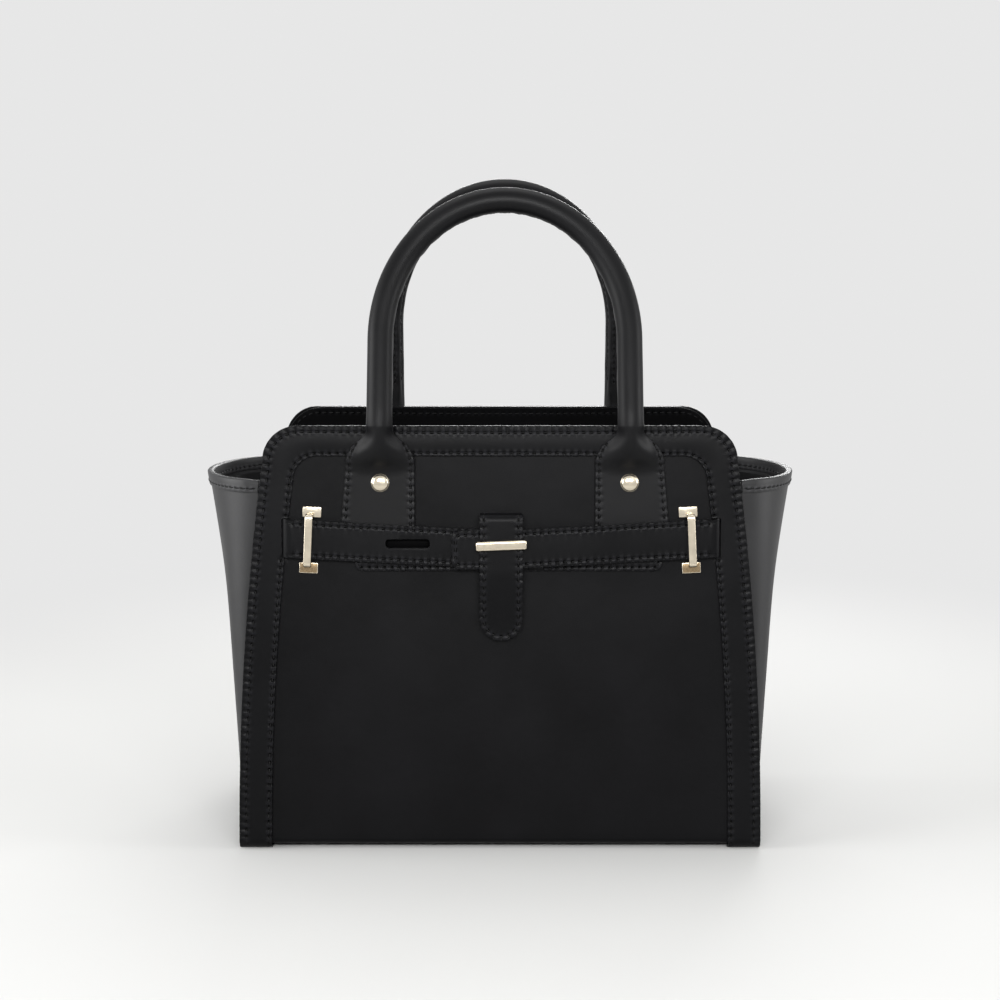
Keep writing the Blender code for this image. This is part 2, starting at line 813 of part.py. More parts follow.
def belt(wall, wall_band):
    """Both straps, their slits in the wall and their slots."""
    fold_x = strap_fold_x()
    low = -layer - strap_leather
    depth = right_face - low + 2 * overrun
    slit_width = (left_face - low) / 2 + clearance
    height = strap_line(fold_x, 1)
    tall = strap_width + 4 * clearance
    fold_edge = fold_x + clearance
    straps = {}
    for name, side, face in (("left_strap", -1, left_strap_face), ("right_strap", 1, right_strap_face)):
        rows = strap_rows(side, face)
        straps[name] = sheet(name, rows, strap_leather, black_leather, front, flip=side < 0)
        here = wall_frame(side * (fold_edge - slit_width / 2), height, 0.0)
        slit = box(name + "_slit", (slit_width, tall, depth), pale_gold, front, here)
        boolean(wall, as_cutter(slit))
        notch_width = fold_edge - edge_half(height + strap_width) + band_side_width + overrun
        here = wall_frame(side * (fold_edge - notch_width / 2), height, 0.0)
        notch = box(name + "_notch", (notch_width, tall, depth), pale_gold, front, here)
        boolean(wall_band, as_cutter(notch))
    slot = stadium(strap_slot_length, strap_slot_height)
    here = wall_frame(lock_shift, lock_height, 0.0)
    middle = as_cutter(outline("middle_slot", slot, depth, pale_gold, front, here))
    here = wall_frame(-spare_slot_distance, spare_slot_height, 0.0)
    spare = as_cutter(outline("spare_slot", slot, depth, pale_gold, front, here))
    boolean(straps["left_strap"], middle)
    boolean(straps["right_strap"], middle)
    boolean(straps["left_strap"], spare)


def lock_patch():
    """The backing patch that shows below the straps."""
    half_height = (patch_top - patch_foot) / 2
    corner = arc(
        patch_half_length - patch_corner_radius, half_height - patch_corner_radius, patch_corner_radius,
        0.0, math.pi / 2, 4,
    )
    right = [(x, -y) for x, y in reversed(corner)] + corner
    points = right + [(-x, y) for x, y in reversed(right)]
    frame = wall_frame(patch_shift, (patch_top + patch_foot) / 2, clearance + leather / 2)
    return outline("lock_patch", points, leather, black_leather, front, frame)


def closing_tab_out(s):
    """Height of the closing tab's face off the wall. Below the belt it falls back a little."""
    belt_foot = belt_height - strap_width / 2
    return closing_tab_face - closing_fall * smooth((belt_foot - s) / (belt_foot - closing_tab_foot))


def closing_tab(axis, home):
    """The moving leaf of the closing tab, hung from the front of its fold."""
    half = closing_tab_width / 2
    turns = [math.pi / 2 * share for share in shares(6, closing_tab_tip_share)]
    edges = [(closing_tab_foot + half * (1 - math.cos(turn)), half * math.sin(turn)) for turn in turns]
    straight = shares(6, edges[-1][0], belt_height) + [closing_fold_centre]
    edges += [(s, half) for s in straight[1:]]
    rows = []
    for s, wide in edges:
        rows.append([home @ lay(lock_shift + side * wide, s, closing_tab_out(s)) for side in (-1, 0, 1)])
    return sheet("closing_tab", rows, closing_tab_leather, black_leather, axis)


def closing_anchor():
    """The fixed leaf of the closing tab, sewn to the wall behind the straps and folded over their top."""
    half = closing_tab_width / 2
    middle = clearance + closing_fold_radius
    end = math.pi / 2 - closing_fold_open
    path = [(closing_anchor_foot, clearance)]
    path += arc(closing_fold_centre, middle, closing_fold_radius, -math.pi / 2, end, 10)
    rows = [[lay(lock_shift + side * half, s, n) for side in (-1, 1)] for s, n in path]
    return sheet("closing_anchor", rows, closing_tab_leather, black_leather, front, flip=True)


def lock(wall, patch):
    """The bar on the closing tab, its steel keeper, and the magnetic lug that the straps' slots fit over."""
    pivot = lay(0.0, closing_fold_centre, closing_axis_out)
    axis = empty("closing_tab_axis", Matrix.Translation(pivot), front)
    home = Matrix.Translation(-pivot)
    leaf = closing_tab(axis, home)
    closing_anchor()
    pins = [lock_shift - bar_pin_spread / 2, lock_shift + bar_pin_spread / 2]
    hole = pin_radius + clearance

    bar_out = closing_tab_face + clearance + bar_thickness / 2
    bar_frame = home @ wall_frame(lock_shift, lock_height, bar_out)
    bar = box("lock_bar", (bar_length, bar_height, bar_thickness), pale_gold, axis, bar_frame, bar_bevel)
    keeper_out = closing_tab_back - clearance - keeper_thickness / 2
    keeper_frame = home @ wall_frame(lock_shift, lock_height, keeper_out)
    size = (keeper_length, keeper_height, keeper_thickness)
    keeper = box("lock_keeper", size, dull_steel, axis, keeper_frame)
    pin_low = keeper_out - keeper_thickness / 2
    for number, x in enumerate(pins):
        frame = home @ wall_frame(x, lock_height, (pin_low + bar_out) / 2)
        boolean(bar, rod(f"lock_bar_pin_{number}", pin_radius, bar_out - pin_low, axis, frame), "UNION")
        length = closing_tab_face - pin_low
        drill([leaf, keeper], f"lock_bar_hole_{number}", hole, length, axis, frame)

    lug_low = band_face + clearance
    lug_high = pin_low - clearance
    lug_frame = wall_frame(lock_shift, lock_height, (lug_low + lug_high) / 2)
    shape = stadium(lug_length, lug_height)
    lug = outline("magnet_lug", shape, lug_high - lug_low, dull_steel, front, lug_frame)
    plate_out = -layer - back_plate_thickness / 2
    plate_frame = wall_frame(lock_shift, lock_height, plate_out)
    size = (back_plate_length, back_plate_height, back_plate_thickness)
    plate = box("lock_back_plate", size, dull_steel, front, plate_frame)
    low = plate_out - back_plate_thickness / 2
    middle = (lug_low + lug_high) / 2
    for number, x in enumerate(pins):
        frame = wall_frame(x, lock_height, (low + middle) / 2)
        boolean(lug, rod(f"lug_pin_{number}", pin_radius, middle - low, front, frame), "UNION")
        frame = wall_frame(x, lock_height, (low + band_face) / 2)
        drill([patch, wall, plate], f"lug_hole_{number}", hole, band_face - low, front, frame)


def staple_outline(low, high):
    """Side view of a bent staple: up along the strap, then out from the wall."""
    half = staple_span / 2
    thick = staple_bar_thickness
    outer_bend = staple_bend_radius
    inner_bend = staple_bend_radius - staple_bar_thickness + clearance
    outer = arc(half - outer_bend, high - outer_bend, outer_bend, 0.0, math.pi / 2, 5)
    inner = arc(half - thick - inner_bend, high - thick - inner_bend, inner_bend, 0.0, math.pi / 2, 4)
    upper = [(half, low)] + outer
    under = [(half - thick, low)] + inner
    left_upper = [(-u, v) for u, v in reversed(upper)]
    left_under = [(-u, v) for u, v in under]
    return upper + left_upper + left_under + under[::-1]


def staple(name, side, wall):
    """A belt staple: the bent bar, its two foot plates and the backing strip inside the wall."""
    x = side * (edge_half(staple_height) - staple_inset)
    turn = side * staple_tilt
    frame = wall_frame(x, staple_height, 0.0, turn)
    plate_face = clearance + plate_thickness
    low = plate_face + clearance
    high = left_face + staple_room + staple_bar_thickness
    sideways = Matrix(((0, 0, 1, 0), (1, 0, 0, 0), (0, 1, 0, 0), (0, 0, 0, 1)))
    shape = staple_outline(low, high)
    bar = outline(name + "_bar", shape, staple_bar_width, pale_gold, front, frame @ sideways)
    leg = staple_span / 2 - staple_bar_thickness / 2
    back = -layer - back_plate_thickness
    backing_length = staple_span + 2 * backing_overhang
    backing_frame = frame @ Matrix.Translation((0.0, 0.0, back + back_plate_thickness / 2))
    size = (backing_width, backing_length, back_plate_thickness)
    backing = box(name + "_backing", size, dull_steel, front, backing_frame)
    for word, up in (("upper", 1), ("lower", -1)):
        seat = frame @ Matrix.Translation((0.0, up * plate_spread / 2, clearance + plate_thickness / 2))
        size = (plate_width, plate_height, plate_thickness)
        plate = box(f"{name}_{word}_plate", size, pale_gold, front, seat, plate_bevel)
        pin_top = low + staple_bar_thickness
        here = frame @ Matrix.Translation((0.0, up * leg, (back + pin_top) / 2))
        boolean(bar, rod(f"{name}_{word}_pin", pin_radius, pin_top - back, front, here), "UNION")
        here = frame @ Matrix.Translation((0.0, up * leg, (back + plate_face) / 2))
        hole = pin_radius + clearance
        drill([plate, wall, backing], f"{name}_{word}_hole", hole, plate_face - back, front, here)


def build():
    """Makes every piece of the bag."""
    front_panel = panel("front_panel", front)
    rear_panel = panel("rear_panel", rear)
    front_band = band("front_band", front)
    band("rear_band", rear)
    front_facing = facing("front_facing", front)
    rear_facing = facing("rear_facing", rear)
    for name, side in (("left", -1), ("right", 1)):
        gusset(name + "_gusset", side)
        binding(name + "_rim_binding", side)
    lining()
    base_pieces()
    for word, parent, wall, inside, lean in (
        ("front", front, front_panel, front_facing, front_handle_lean),
        ("rear", rear, rear_panel, rear_facing, rear_handle_lean),
    ):
        shift = handle_shift if parent is front else -handle_shift
        handle(word + "_handle", lean, shift, parent)
        for leg, side in (("left", -1), ("right", 1)):
            across = side if parent is front else -side
            x = shift + across * handle_spread / 2
            tab = handle_tab(f"{word}_{leg}_tab", x, across, parent)
            rivet(f"{word}_{leg}_rivet", x, [tab, wall, inside], parent)
    patch = lock_patch()
    belt(front_panel, front_band)
    lock(front_panel, patch)
    staple("left_staple", -1, front_panel)
    staple("right_staple", 1, front_panel)


build()
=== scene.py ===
"""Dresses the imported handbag: soft leather skins, stitching, gilt fittings, a lining and a studio.

Metres, +Z up, the front wall facing -Y. A place on a wall is given as across (x), up its slope
from the floor (s) and out from its face (n). The rear wall is the front one turned about Z.
"""

import math

import bmesh
import bpy
import numpy as np
from mathutils import Matrix, Vector
from mathutils.kdtree import KDTree


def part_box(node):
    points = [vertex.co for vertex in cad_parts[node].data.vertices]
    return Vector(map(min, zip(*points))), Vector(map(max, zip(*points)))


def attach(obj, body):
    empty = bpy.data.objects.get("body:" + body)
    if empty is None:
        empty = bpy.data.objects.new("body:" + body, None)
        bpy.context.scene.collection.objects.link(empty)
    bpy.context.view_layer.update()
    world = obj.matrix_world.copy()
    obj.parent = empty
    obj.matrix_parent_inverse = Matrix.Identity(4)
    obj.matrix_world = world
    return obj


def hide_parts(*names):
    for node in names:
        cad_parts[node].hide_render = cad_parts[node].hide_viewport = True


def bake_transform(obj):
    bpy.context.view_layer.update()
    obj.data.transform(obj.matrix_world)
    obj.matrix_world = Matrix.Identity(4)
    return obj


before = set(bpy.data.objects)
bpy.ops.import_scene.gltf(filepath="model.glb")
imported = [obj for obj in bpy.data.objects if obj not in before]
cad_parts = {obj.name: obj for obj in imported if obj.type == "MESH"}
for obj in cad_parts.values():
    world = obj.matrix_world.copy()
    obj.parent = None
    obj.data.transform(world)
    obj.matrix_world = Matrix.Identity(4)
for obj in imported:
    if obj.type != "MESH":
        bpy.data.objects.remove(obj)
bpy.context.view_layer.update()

# Leather, the gap between layers, the lining cloth, and how far a row lies above its leather
LEATHER, GAP, CLOTH, PROUD = 0.0018, 0.0003, 0.0008, 0.00005
# Walls: width and depth at the floor, depth at the top, and height up the slope
WIDTH, DEPTH, TOP_DEPTH, WALL = 0.300, 0.150, 0.122, 0.2442
# How far a wall's edge comes in by its top, its top corners, its bottom fold and its flap
EDGE_DRAW, CORNER, FOLD, PANEL_FLAP = 0.018, 0.020, 0.004, 0.012
# Frame bands: width beside and above, inner corner, and flap
BAND_SIDE, BAND_TOP, BAND_CORNER, BAND_FLAP = 0.0186, 0.017, 0.014, 0.006
# How far in a band's rows lie from its outer and inner edge, and the finest step along it
OUTER_ROW, INNER_ROW, BAND_STEP = 0.0040, 0.0016, 0.0007
# Wings: rim height, half widths at rim and foot, how far in their seams lie, and their flanges
RIM, RIM_HALF, FOOT_HALF, SETBACK, FLANGE = WALL - 0.0325, 0.1735, 0.1495, 0.0035, 0.008
# Their bottom fold and flap, how late they spread, and how square their plan is
GUSSET_FOLD, GUSSET_FLAP, WING_POWER, CORNER_SHARE = 0.005, 0.012, 1.76, 1.35
# The strip over a wing's rim: leather and height
BINDING, BINDING_HEIGHT = 0.0007, 0.0065
# Facings: foot, and distance from the wall's edge above the wings; and the top of the lining
FACING_FOOT, FACING_EDGE, LINING_TOP = WALL - 0.0460, 0.0008, WALL - 0.0405
# Handles: distance between legs, shift to one side, radius, straight leg, arch and lean
HANDLE_SPREAD, HANDLE_SHIFT, GRIP, LEG, ARCH = 0.1414, 0.0028, 0.0073, 0.050, 0.0834
FRONT_LEAN, REAR_LEAN = math.radians(20), math.radians(8)
# Faces round a grip, the angle of its inner seam, and the angle from it to each of its rows
RING, SEAM_TURN, SEAM_HALF = 96, -0.95, 0.34
# How far below and above its pivots the ends of a handle's bend are put; the bend itself is not made
BEND_BELOW, BEND_ABOVE = 0.0050, 0.0110
# Belt: height, fall to its ends, strap width, strap thickness and height off the wall
BELT, BELT_FALL, STRAP_WIDTH, STRAP, STRAP_LIFT = WALL - 0.0703, math.radians(3), 0.0218, 0.002, 0.003
# Where the left and right straps fold in from the wall's edge, the shape of the fold, and how wide
# the band is notched for it
STRAP_FOLD_INSETS = {-1: 0.0161, 1: 0.0147}
STRAP_FOLD_RADIUS, STRAP_ROUND, STRAP_INNER, NOTCH = 0.0024, (0.0062, 0.0042), 0.0065, 0.008
# Strap tips past the middle, their corners, and where a strap's row starts inward of its fold
STRAP_TIP, STRAP_TIP_RADIUS, STRAP_ROW_START = 0.0275, 0.005, 0.0066
# Where the right strap has stepped up on to the left one, and where it starts to
STEP_TOP, STEP_FOOT = 0.048, 0.076
# How far from an edge the rows of straps, patch and handle tabs lie
STRAP_ROW, PATCH_ROW, TAB_ROW = 0.0024, 0.0021, 0.0023
# The slots in the straps, and the place of the spare one
SLOT_LENGTH, SLOT_HEIGHT, SLOT_CORNER = 0.0252, 0.0053, 0.0020
SPARE_X, SPARE_S = -0.0524, BELT + 0.0034
# The patch behind the belt: foot, top, half width, shift to one side, and corners
PATCH_FOOT, PATCH_TOP, PATCH_HALF = BELT - 0.0122, BELT + 0.0048, 0.0874
PATCH_SHIFT, PATCH_CORNER = 0.0048, 0.004
# Handle tabs: width, leather, foot, corners, and flare of the outer edge
TAB_WIDTH, TAB_LEATHER, TAB_FOOT, TAB_CORNER, TAB_FLARE = 0.0392, 0.0024, BELT + 0.0058, 0.006, 0.0036
# Their neck, the swell of their face, their step up on to the band, and where they turn round
NECK_TOP, NECK, SWELL, SWELL_LENGTH, TAB_STEP = WALL - 0.0025, 0.019, 0.0100, 0.024, 0.009
ROUND_FROM, ROUND_LENGTH = WALL - 0.0120, 0.0140
# Rivets on the handle tabs
RIVET_S, RIVET_RADIUS = WALL - 0.0323, 0.00515
# Closing tab: the lock's place, the tip and the width, then the fold's top, the fall of the face
# below the belt, and the sewn foot
LOCK_X, LOCK_S, TAB_TIP_S, CLOSING_WIDTH = 0.0007, BELT + 0.003, BELT - 0.052, 0.0243
CLOSING_TOP, CLOSING_FALL, ANCHOR_S = BELT + 0.0209, 0.0045, BELT + 0.0051
# Staples: distance from the wall's edge, height, tilt and length, then the size of their foot
# plates and the distance between them
STAPLE_INSET, STAPLE_S, STAPLE_TILT, STAPLE_SPAN = 0.0316, BELT + 0.0053, math.radians(2.6), 0.0304
FOOT_PLATE, FOOT_SPAN = (0.0107, 0.0062, 0.0012), 0.0319
# Stitch pitch, the steps of a row's path and of a sewn mesh, and how far from a row leather is drawn
PITCH, ROW_STEP, FINE, DRAWN = 0.0043, 0.0005, 0.0006, 0.006
# How far sewn leather puffs, spreads at its edge and sinks, and what stands for a row far off, all
# in millimetres
PUCKER, SCALLOP, SUNK, FAR_OFF = 0.34, 0.20, 0.06, 20.0
# The tone of the background, and of the same world where it only lights the bag
PALE, LIT = (0.80, 0.80, 0.80), (0.34, 0.34, 0.34)

# Worked out from the sizes above
LAYER = LEATHER + GAP
LEAN = math.asin((DEPTH - TOP_DEPTH) / 2 / WALL)
FOLD_TURN = math.pi / 2 + LEAN
FOLD_Z = LAYER + FOLD
FOLD_Y = (FOLD + FOLD_Z * math.sin(LEAN)) / math.cos(LEAN) - DEPTH / 2
FOLD_START = (FOLD_Y + DEPTH / 2) * math.sin(LEAN) + FOLD_Z * math.cos(LEAN)
FOLD_END = FOLD_START - FOLD_TURN * FOLD
PIVOT_S = WALL + 0.001
PIVOT_OUT = GAP + LEATHER + GAP + GRIP + GAP
GUSSET_FOLD_Z = 2 * LAYER + GUSSET_FOLD
LEFT_FACE = STRAP_LIFT + STRAP
RIGHT_FACE = LEFT_FACE + GAP + STRAP
CLOSING_FACE = RIGHT_FACE + GAP + STRAP
CLOSING_RADIUS = (CLOSING_FACE - GAP) / 2
CLOSING_CENTRE = CLOSING_TOP - CLOSING_RADIUS
TIP_START = STRAP_TIP_RADIUS - STRAP_TIP


# Places on the bag


def clamped(value, low=0.0, high=1.0):
    """A value kept between two limits."""
    return min(max(value, low), high)


def spread(count, start=0.0, end=1.0):
    """Evenly spaced values from start to end, both included."""
    return [start + (end - start) * i / count for i in range(count + 1)]


def soft(value):
    """A soft step from 0 to 1."""
    held = clamped(value)
    return held * held * (3 - 2 * held)


def gradual(value):
    """A step from 0 to 1 that starts and ends more gently still."""
    held = clamped(value)
    return held**3 * (10 - 15 * held + 6 * held * held)


def arc(cx, cy, radius, start, end, steps):
    """Points of an arc from one angle to another."""
    return [(cx + radius * math.cos(a), cy + radius * math.sin(a)) for a in spread(steps, start, end)]


def cornered(half, radius, into):
    """Half the width of a piece, this far into its rounded corners."""
    return half - radius + math.sqrt(radius**2 - clamped(into, 0.0, radius) ** 2)


def up_corner(foot, radius, count):
    """Heights through a rounded top corner, from its foot, which is left out."""
    return [foot + radius * math.sin(math.pi / 2 * t) for t in spread(count)[1:]]


def out_of_corner(foot, radius, count, first):
    """Heights through a rounded bottom corner, from a first share of it."""
    return [foot + radius * (1 - math.cos(math.pi / 2 * t)) for t in spread(count, first)]


def both_sides(outline):
    """An outline that ends at the middle, and on along its mirror image."""
    return outline + [(-place[0], *place[1:]) for place in reversed(outline[:-1])]


def lay(x, s, n):
    """The point at x across, s up the slope of the front wall and n out from its face."""
    if s >= FOLD_START:
        y = s * math.sin(LEAN) - n * math.cos(LEAN) - DEPTH / 2
        return Vector((x, y, s * math.cos(LEAN) + n * math.sin(LEAN)))
    bent = min((FOLD_START - s) / FOLD, FOLD_TURN)
    past = FOLD_START - s - bent * FOLD
    reach = FOLD + n
    y = FOLD_Y + past - reach * math.cos(LEAN - bent)
    return Vector((x, y, FOLD_Z + reach * math.sin(LEAN - bent)))


def wall_frame(x, s, n, turn=0.0, rear=False):
    """A frame on a wall: X across, Y up the slope, Z out, turned about its own Z."""
    out = Matrix.Rotation(math.pi / 2 - LEAN, 4, "X")
    place = Matrix.Translation(lay(x, s, n)) @ out @ Matrix.Rotation(turn, 4, "Z")
    return Matrix.Rotation(math.pi, 4, "Z") @ place if rear else place


def to_rear(point):
    """The same place on the rear wall."""
    return Vector((-point[0], -point[1], point[2]))


def wall_turn(rear):
    """What takes a point of the front wall to this wall."""
    return to_rear if rear else Vector


def edge_half(s):
    """Half the width of a wall at s."""
    share = clamped(s / WALL)
    return cornered(WIDTH / 2 - EDGE_DRAW * share * share, CORNER, s - (WALL - CORNER))


def inner_depth(z):
    """Distance from the middle of the bag to a wall's inner face at height z."""
    s = (z + LEATHER * math.sin(LEAN)) / math.cos(LEAN)
    if s >= FOLD_START:
        return DEPTH / 2 - s * math.sin(LEAN) - LEATHER * math.cos(LEAN)
    reach = FOLD - LEATHER
    down = min(FOLD_Z - z, reach)
    return math.sqrt(reach * reach - down * down) - FOLD_Y


def gusset_point(turn, z, inset=0.0, depth_inset=0.0):
    """A point of the right gusset's plan section, turn running from -90 to 90 degrees, front to rear."""
    start = edge_half(z / math.cos(LEAN)) - SETBACK
    wing = FOOT_HALF + (RIM_HALF - FOOT_HALF) * (max(z, 0.0) / RIM) ** WING_POWER
    reach = wing - start
    depth = inner_depth(z) - GAP - depth_inset
    power = max(2.0, CORNER_SHARE * depth / reach)
    side = math.copysign(abs(math.sin(turn)) ** (2 / power), turn)
    return Vector((start - inset + reach * math.cos(turn), depth * side, z))


def gusset_drawn_in(z):
    """How far the gusset's bottom fold draws its wall in at height z."""
    down = clamped(GUSSET_FOLD_Z - z, 0.0, GUSSET_FOLD)
    return GUSSET_FOLD - math.sqrt(GUSSET_FOLD**2 - down * down)


def mirrored(point, side):
    """A point of the right side, or its place on the left one."""
    return Vector((side * point.x, point.y, point.z))


def strap_line(x, side=1):
    """Height of a strap's middle at x."""
    return BELT + math.tan(BELT_FALL) * max(side * x, 0.0)


# Materials


def node(tree, kind, links=None, **settings):
    """A new node with its settings, and its inputs linked to sockets or set to values."""
    made = tree.nodes.new(kind)
    for key, value in settings.items():
        setattr(made, key, value)
    for key, value in (links or {}).items():
        if isinstance(value, bpy.types.NodeSocket):
            tree.links.new(value, made.inputs[key])
        else:
            made.inputs[key].default_value = value
    return made


def reckon(tree, operation, a, b=0.0, c=0.0):
    """The output of a Math node."""
    return node(tree, "ShaderNodeMath", {0: a, 1: b, 2: c}, operation=operation).outputs[0]


def weighed(tree, *parts, start=0.0):
    """A sum of values, each times its weight."""
    total = start
    for value, weight in parts:
        total = reckon(tree, "MULTIPLY_ADD", value, weight, total)
    return total


def ramp(tree, value, low, high, to_low=0.0, to_high=1.0):
    """A soft step of value between two limits."""
    links = {"Value": value, "From Min": low, "From Max": high, "To Min": to_low, "To Max": to_high}
    return node(tree, "ShaderNodeMapRange", links, interpolation_type="SMOOTHSTEP").outputs["Result"]


def between(tree, share, low_colour, high_colour):
    """A colour between two."""
    links = {"Factor": share, "A": (*low_colour, 1.0), "B": (*high_colour, 1.0)}
    mixed = node(tree, "ShaderNodeMix", links, data_type="RGBA")
    return next(socket for socket in mixed.outputs if socket.type == "RGBA")


def noise(tree, where, scale, detail=2.0):
    """A noise value about 0.5."""
    links = {"Vector": where, "Scale": scale, "Detail": detail}
    return node(tree, "ShaderNodeTexNoise", links).outputs["Fac"]


def waves(tree, where, scale, distortion, direction="X"):
    """A value that rises and falls in bands."""
    links = {"Vector": where, "Scale": scale, "Distortion": distortion}
    return node(tree, "ShaderNodeTexWave", links, bands_direction=direction).outputs["Fac"]


def shades(tint, low, high):
    """A darker and a lighter shade of a tint."""
    return [tuple(share * c for c in tint) for share in (low, high)]


def blank(name):
    """A new material: (material, tree, shader, object coordinates)."""
    made = bpy.data.materials.new(name)
    made.use_nodes = True
    tree = made.node_tree
    return made, tree, tree.nodes["Principled BSDF"], node(tree, "ShaderNodeTexCoord").outputs["Object"]


def surface(tree, shader, height_mm, colours, mix, roughness, rough_range):
    """Links a bump in millimetres, a mix of two colours and a roughness to the shader."""
    bump = node(tree, "ShaderNodeBump", {"Height": height_mm, "Distance": 0.001, "Strength": 1.0})
    tree.links.new(bump.outputs["Normal"], shader.inputs["Normal"])
    tree.links.new(between(tree, mix, *colours), shader.inputs["Base Color"])
    tree.links.new(ramp(tree, roughness, 0.2, 0.8, *rough_range), shader.inputs["Roughness"])


def leather(name, grain=1.0, shine=0.0, tint=(0.0022, 0.0022, 0.0027), gloss=0.10):
    """Smooth black calf: fine pores, soft unevenness, and needle holes along stitch rows, with painted shade
    in the holes and a painted highlight between them.

    The mesh carries seam, the distance to the nearest stitch row in millimetres, and phase, the
    count of stitches along that row.
    """
    made, tree, shader, where = blank(name)
    fine = noise(tree, where, 1300.0)
    pores = node(tree, "ShaderNodeTexVoronoi", {"Vector": where, "Scale": 1900.0}).outputs["Distance"]
    broad = noise(tree, where, 22.0, 3.0)
    crease = noise(tree, where, 140.0, 4.0)
    beside = node(tree, "ShaderNodeAttribute", attribute_name="seam").outputs["Fac"]
    phase = node(tree, "ShaderNodeAttribute", attribute_name="phase").outputs["Fac"]
    row = ramp(tree, beside, 0.15, 1.3, 1.0, 0.0)
    wave = reckon(tree, "COSINE", reckon(tree, "MULTIPLY", phase, 2 * math.pi))
    hole = reckon(tree, "MULTIPLY", ramp(tree, wave, 0.0, 0.75), ramp(tree, beside, 0.15, 0.75, 1.0, 0.0))
    puffed = reckon(tree, "MULTIPLY", ramp(tree, wave, 0.3, -0.7), ramp(tree, beside, 0.4, 2.6, 1.0, 0.0))
    # Millimetres: the row is sunk, and deeper at its needle holes
    height = weighed(tree, (fine, 0.022 * grain), (pores, 0.020 * grain), (crease, 0.05), (broad, 0.45),
                     (row, -0.10), (hole, -0.85))
    # Painted light: the puffed leather between two holes is painted lighter as a highlight, and each hole
    # darker as shade; the broad noise is the leather's own uneven tone
    tone_and_painted_light = weighed(tree, (broad, 0.3), (puffed, 0.42), (hole, -1.0), start=0.07)
    dull = weighed(tree, (broad, 0.75), (row, 0.25))
    surface(tree, shader, height, shades(tint, 0.1, 4.2), tone_and_painted_light, dull, (0.36 - shine, 0.50 - shine))
    shader.inputs["Specular IOR Level"].default_value = gloss
    return made


def plated(name, tint, rough_range):
    """Polished plating with hairline scratches and a few dull patches."""
    made, tree, shader, where = blank(name)
    stretched = node(tree, "ShaderNodeMapping", {"Vector": where, "Scale": (1.0, 1.0, 0.12)})
    hairs = noise(tree, stretched.outputs["Vector"], 5200.0)
    patches = noise(tree, where, 260.0, 3.0)
    height = reckon(tree, "MULTIPLY", hairs, 0.0022)
    dull = weighed(tree, (hairs, 0.3), (patches, 0.7))
    surface(tree, shader, height, shades(tint, 0.86, 1.0), patches, dull, rough_range)
    shader.inputs["Metallic"].default_value = 1.0
    return made


def woven(name, low_colour, high_colour, scale, depth, sheen=0.2):
    """A plain weave or a twisted cord, with uneven yarns."""
    made, tree, shader, where = blank(name)
    across, up = waves(tree, where, scale, 0.6), waves(tree, where, scale, 0.6, "Z")
    threads = reckon(tree, "MULTIPLY", across, up)
    uneven = noise(tree, where, 90.0, 3.0)
    height = weighed(tree, (threads, depth), (uneven, 0.3))
    mixed = weighed(tree, (threads, 0.6), (uneven, 0.4))
    surface(tree, shader, height, (low_colour, high_colour), mixed, uneven, (0.75, 0.95))
    shader.inputs["Sheen Weight"].default_value = sheen
    shader.inputs["Specular IOR Level"].default_value = 0.1
    return made


def waxed_thread(name):
    """Waxed black thread, laid in plies."""
    made, tree, shader, where = blank(name)
    plies = waves(tree, where, 900.0, 2.0, "DIAGONAL")
    fuzz = noise(tree, where, 3000.0, 3.0)
    height = weighed(tree, (plies, 0.05), (fuzz, 0.02))
    colours = (0.0015, 0.0015, 0.0015), (0.006, 0.006, 0.0065)
    surface(tree, shader, height, colours, plies, fuzz, (0.45, 0.70))
    shader.inputs["Specular IOR Level"].default_value = 0.15
    return made


CALF = leather("calf")
# The same black calf painted about five times lighter for the wings: painted light where the side lamps fall
# on them
LIT_WING_CALF = leather("wing_calf_painted_light", 1.1, -0.10, (0.0105, 0.0105, 0.0113), 0.34)
# The same black calf painted a little lighter for the handles: painted light
LIT_GRIP_CALF = leather("grip_calf_painted_light", 0.8, -0.04, (0.0038, 0.0038, 0.0043), 0.14)
# The same black calf painted darker for the facings inside the bag and the floor of the spare slot: painted
# shade
SHADED_INNER_CALF = leather("inner_calf_painted_shade", 1.4, -0.22, (0.0012, 0.0012, 0.0014), 0.03)
GOLD = plated("gilt", (0.73, 0.65, 0.515), (0.13, 0.26))
# The gilt painted dark brown for the faces of the lower foot plates: painted shade and dark reflection under
# the staple bars
SHADED_GOLD = plated("gilt_painted_shade", (0.30, 0.22, 0.13), (0.20, 0.36))
STEEL = plated("nickel", (0.52, 0.51, 0.49), (0.28, 0.45))
LINING = woven("lining_twill", (0.0015, 0.0015, 0.0018), (0.006, 0.006, 0.0065), 520.0, 0.08, 0.02)
BOARD = woven("pressed_board", (0.16, 0.11, 0.07), (0.30, 0.22, 0.14), 300.0, 0.03)
CORD = woven("twisted_cord", (0.30, 0.26, 0.20), (0.55, 0.50, 0.41), 260.0, 0.25)
THREAD = waxed_thread("waxed_thread")
SLOTS = {look: "black_leather" for look in (CALF, LIT_WING_CALF, LIT_GRIP_CALF, SHADED_INNER_CALF, THREAD)}
SLOTS |= {GOLD: "pale_gold", SHADED_GOLD: "pale_gold", STEEL: "steel", LINING: "lining_cloth"}


# Making pieces


def placed(name, data):
    """A new object in the scene."""
    made = bpy.data.objects.new(name, data)
    bpy.context.scene.collection.objects.link(made)
    return made


def mesh_of(name, shape):
    """A new mesh from a bmesh, which is freed."""
    mesh = bpy.data.meshes.new(name)
    shape.to_mesh(mesh)
    shape.free()
    return mesh


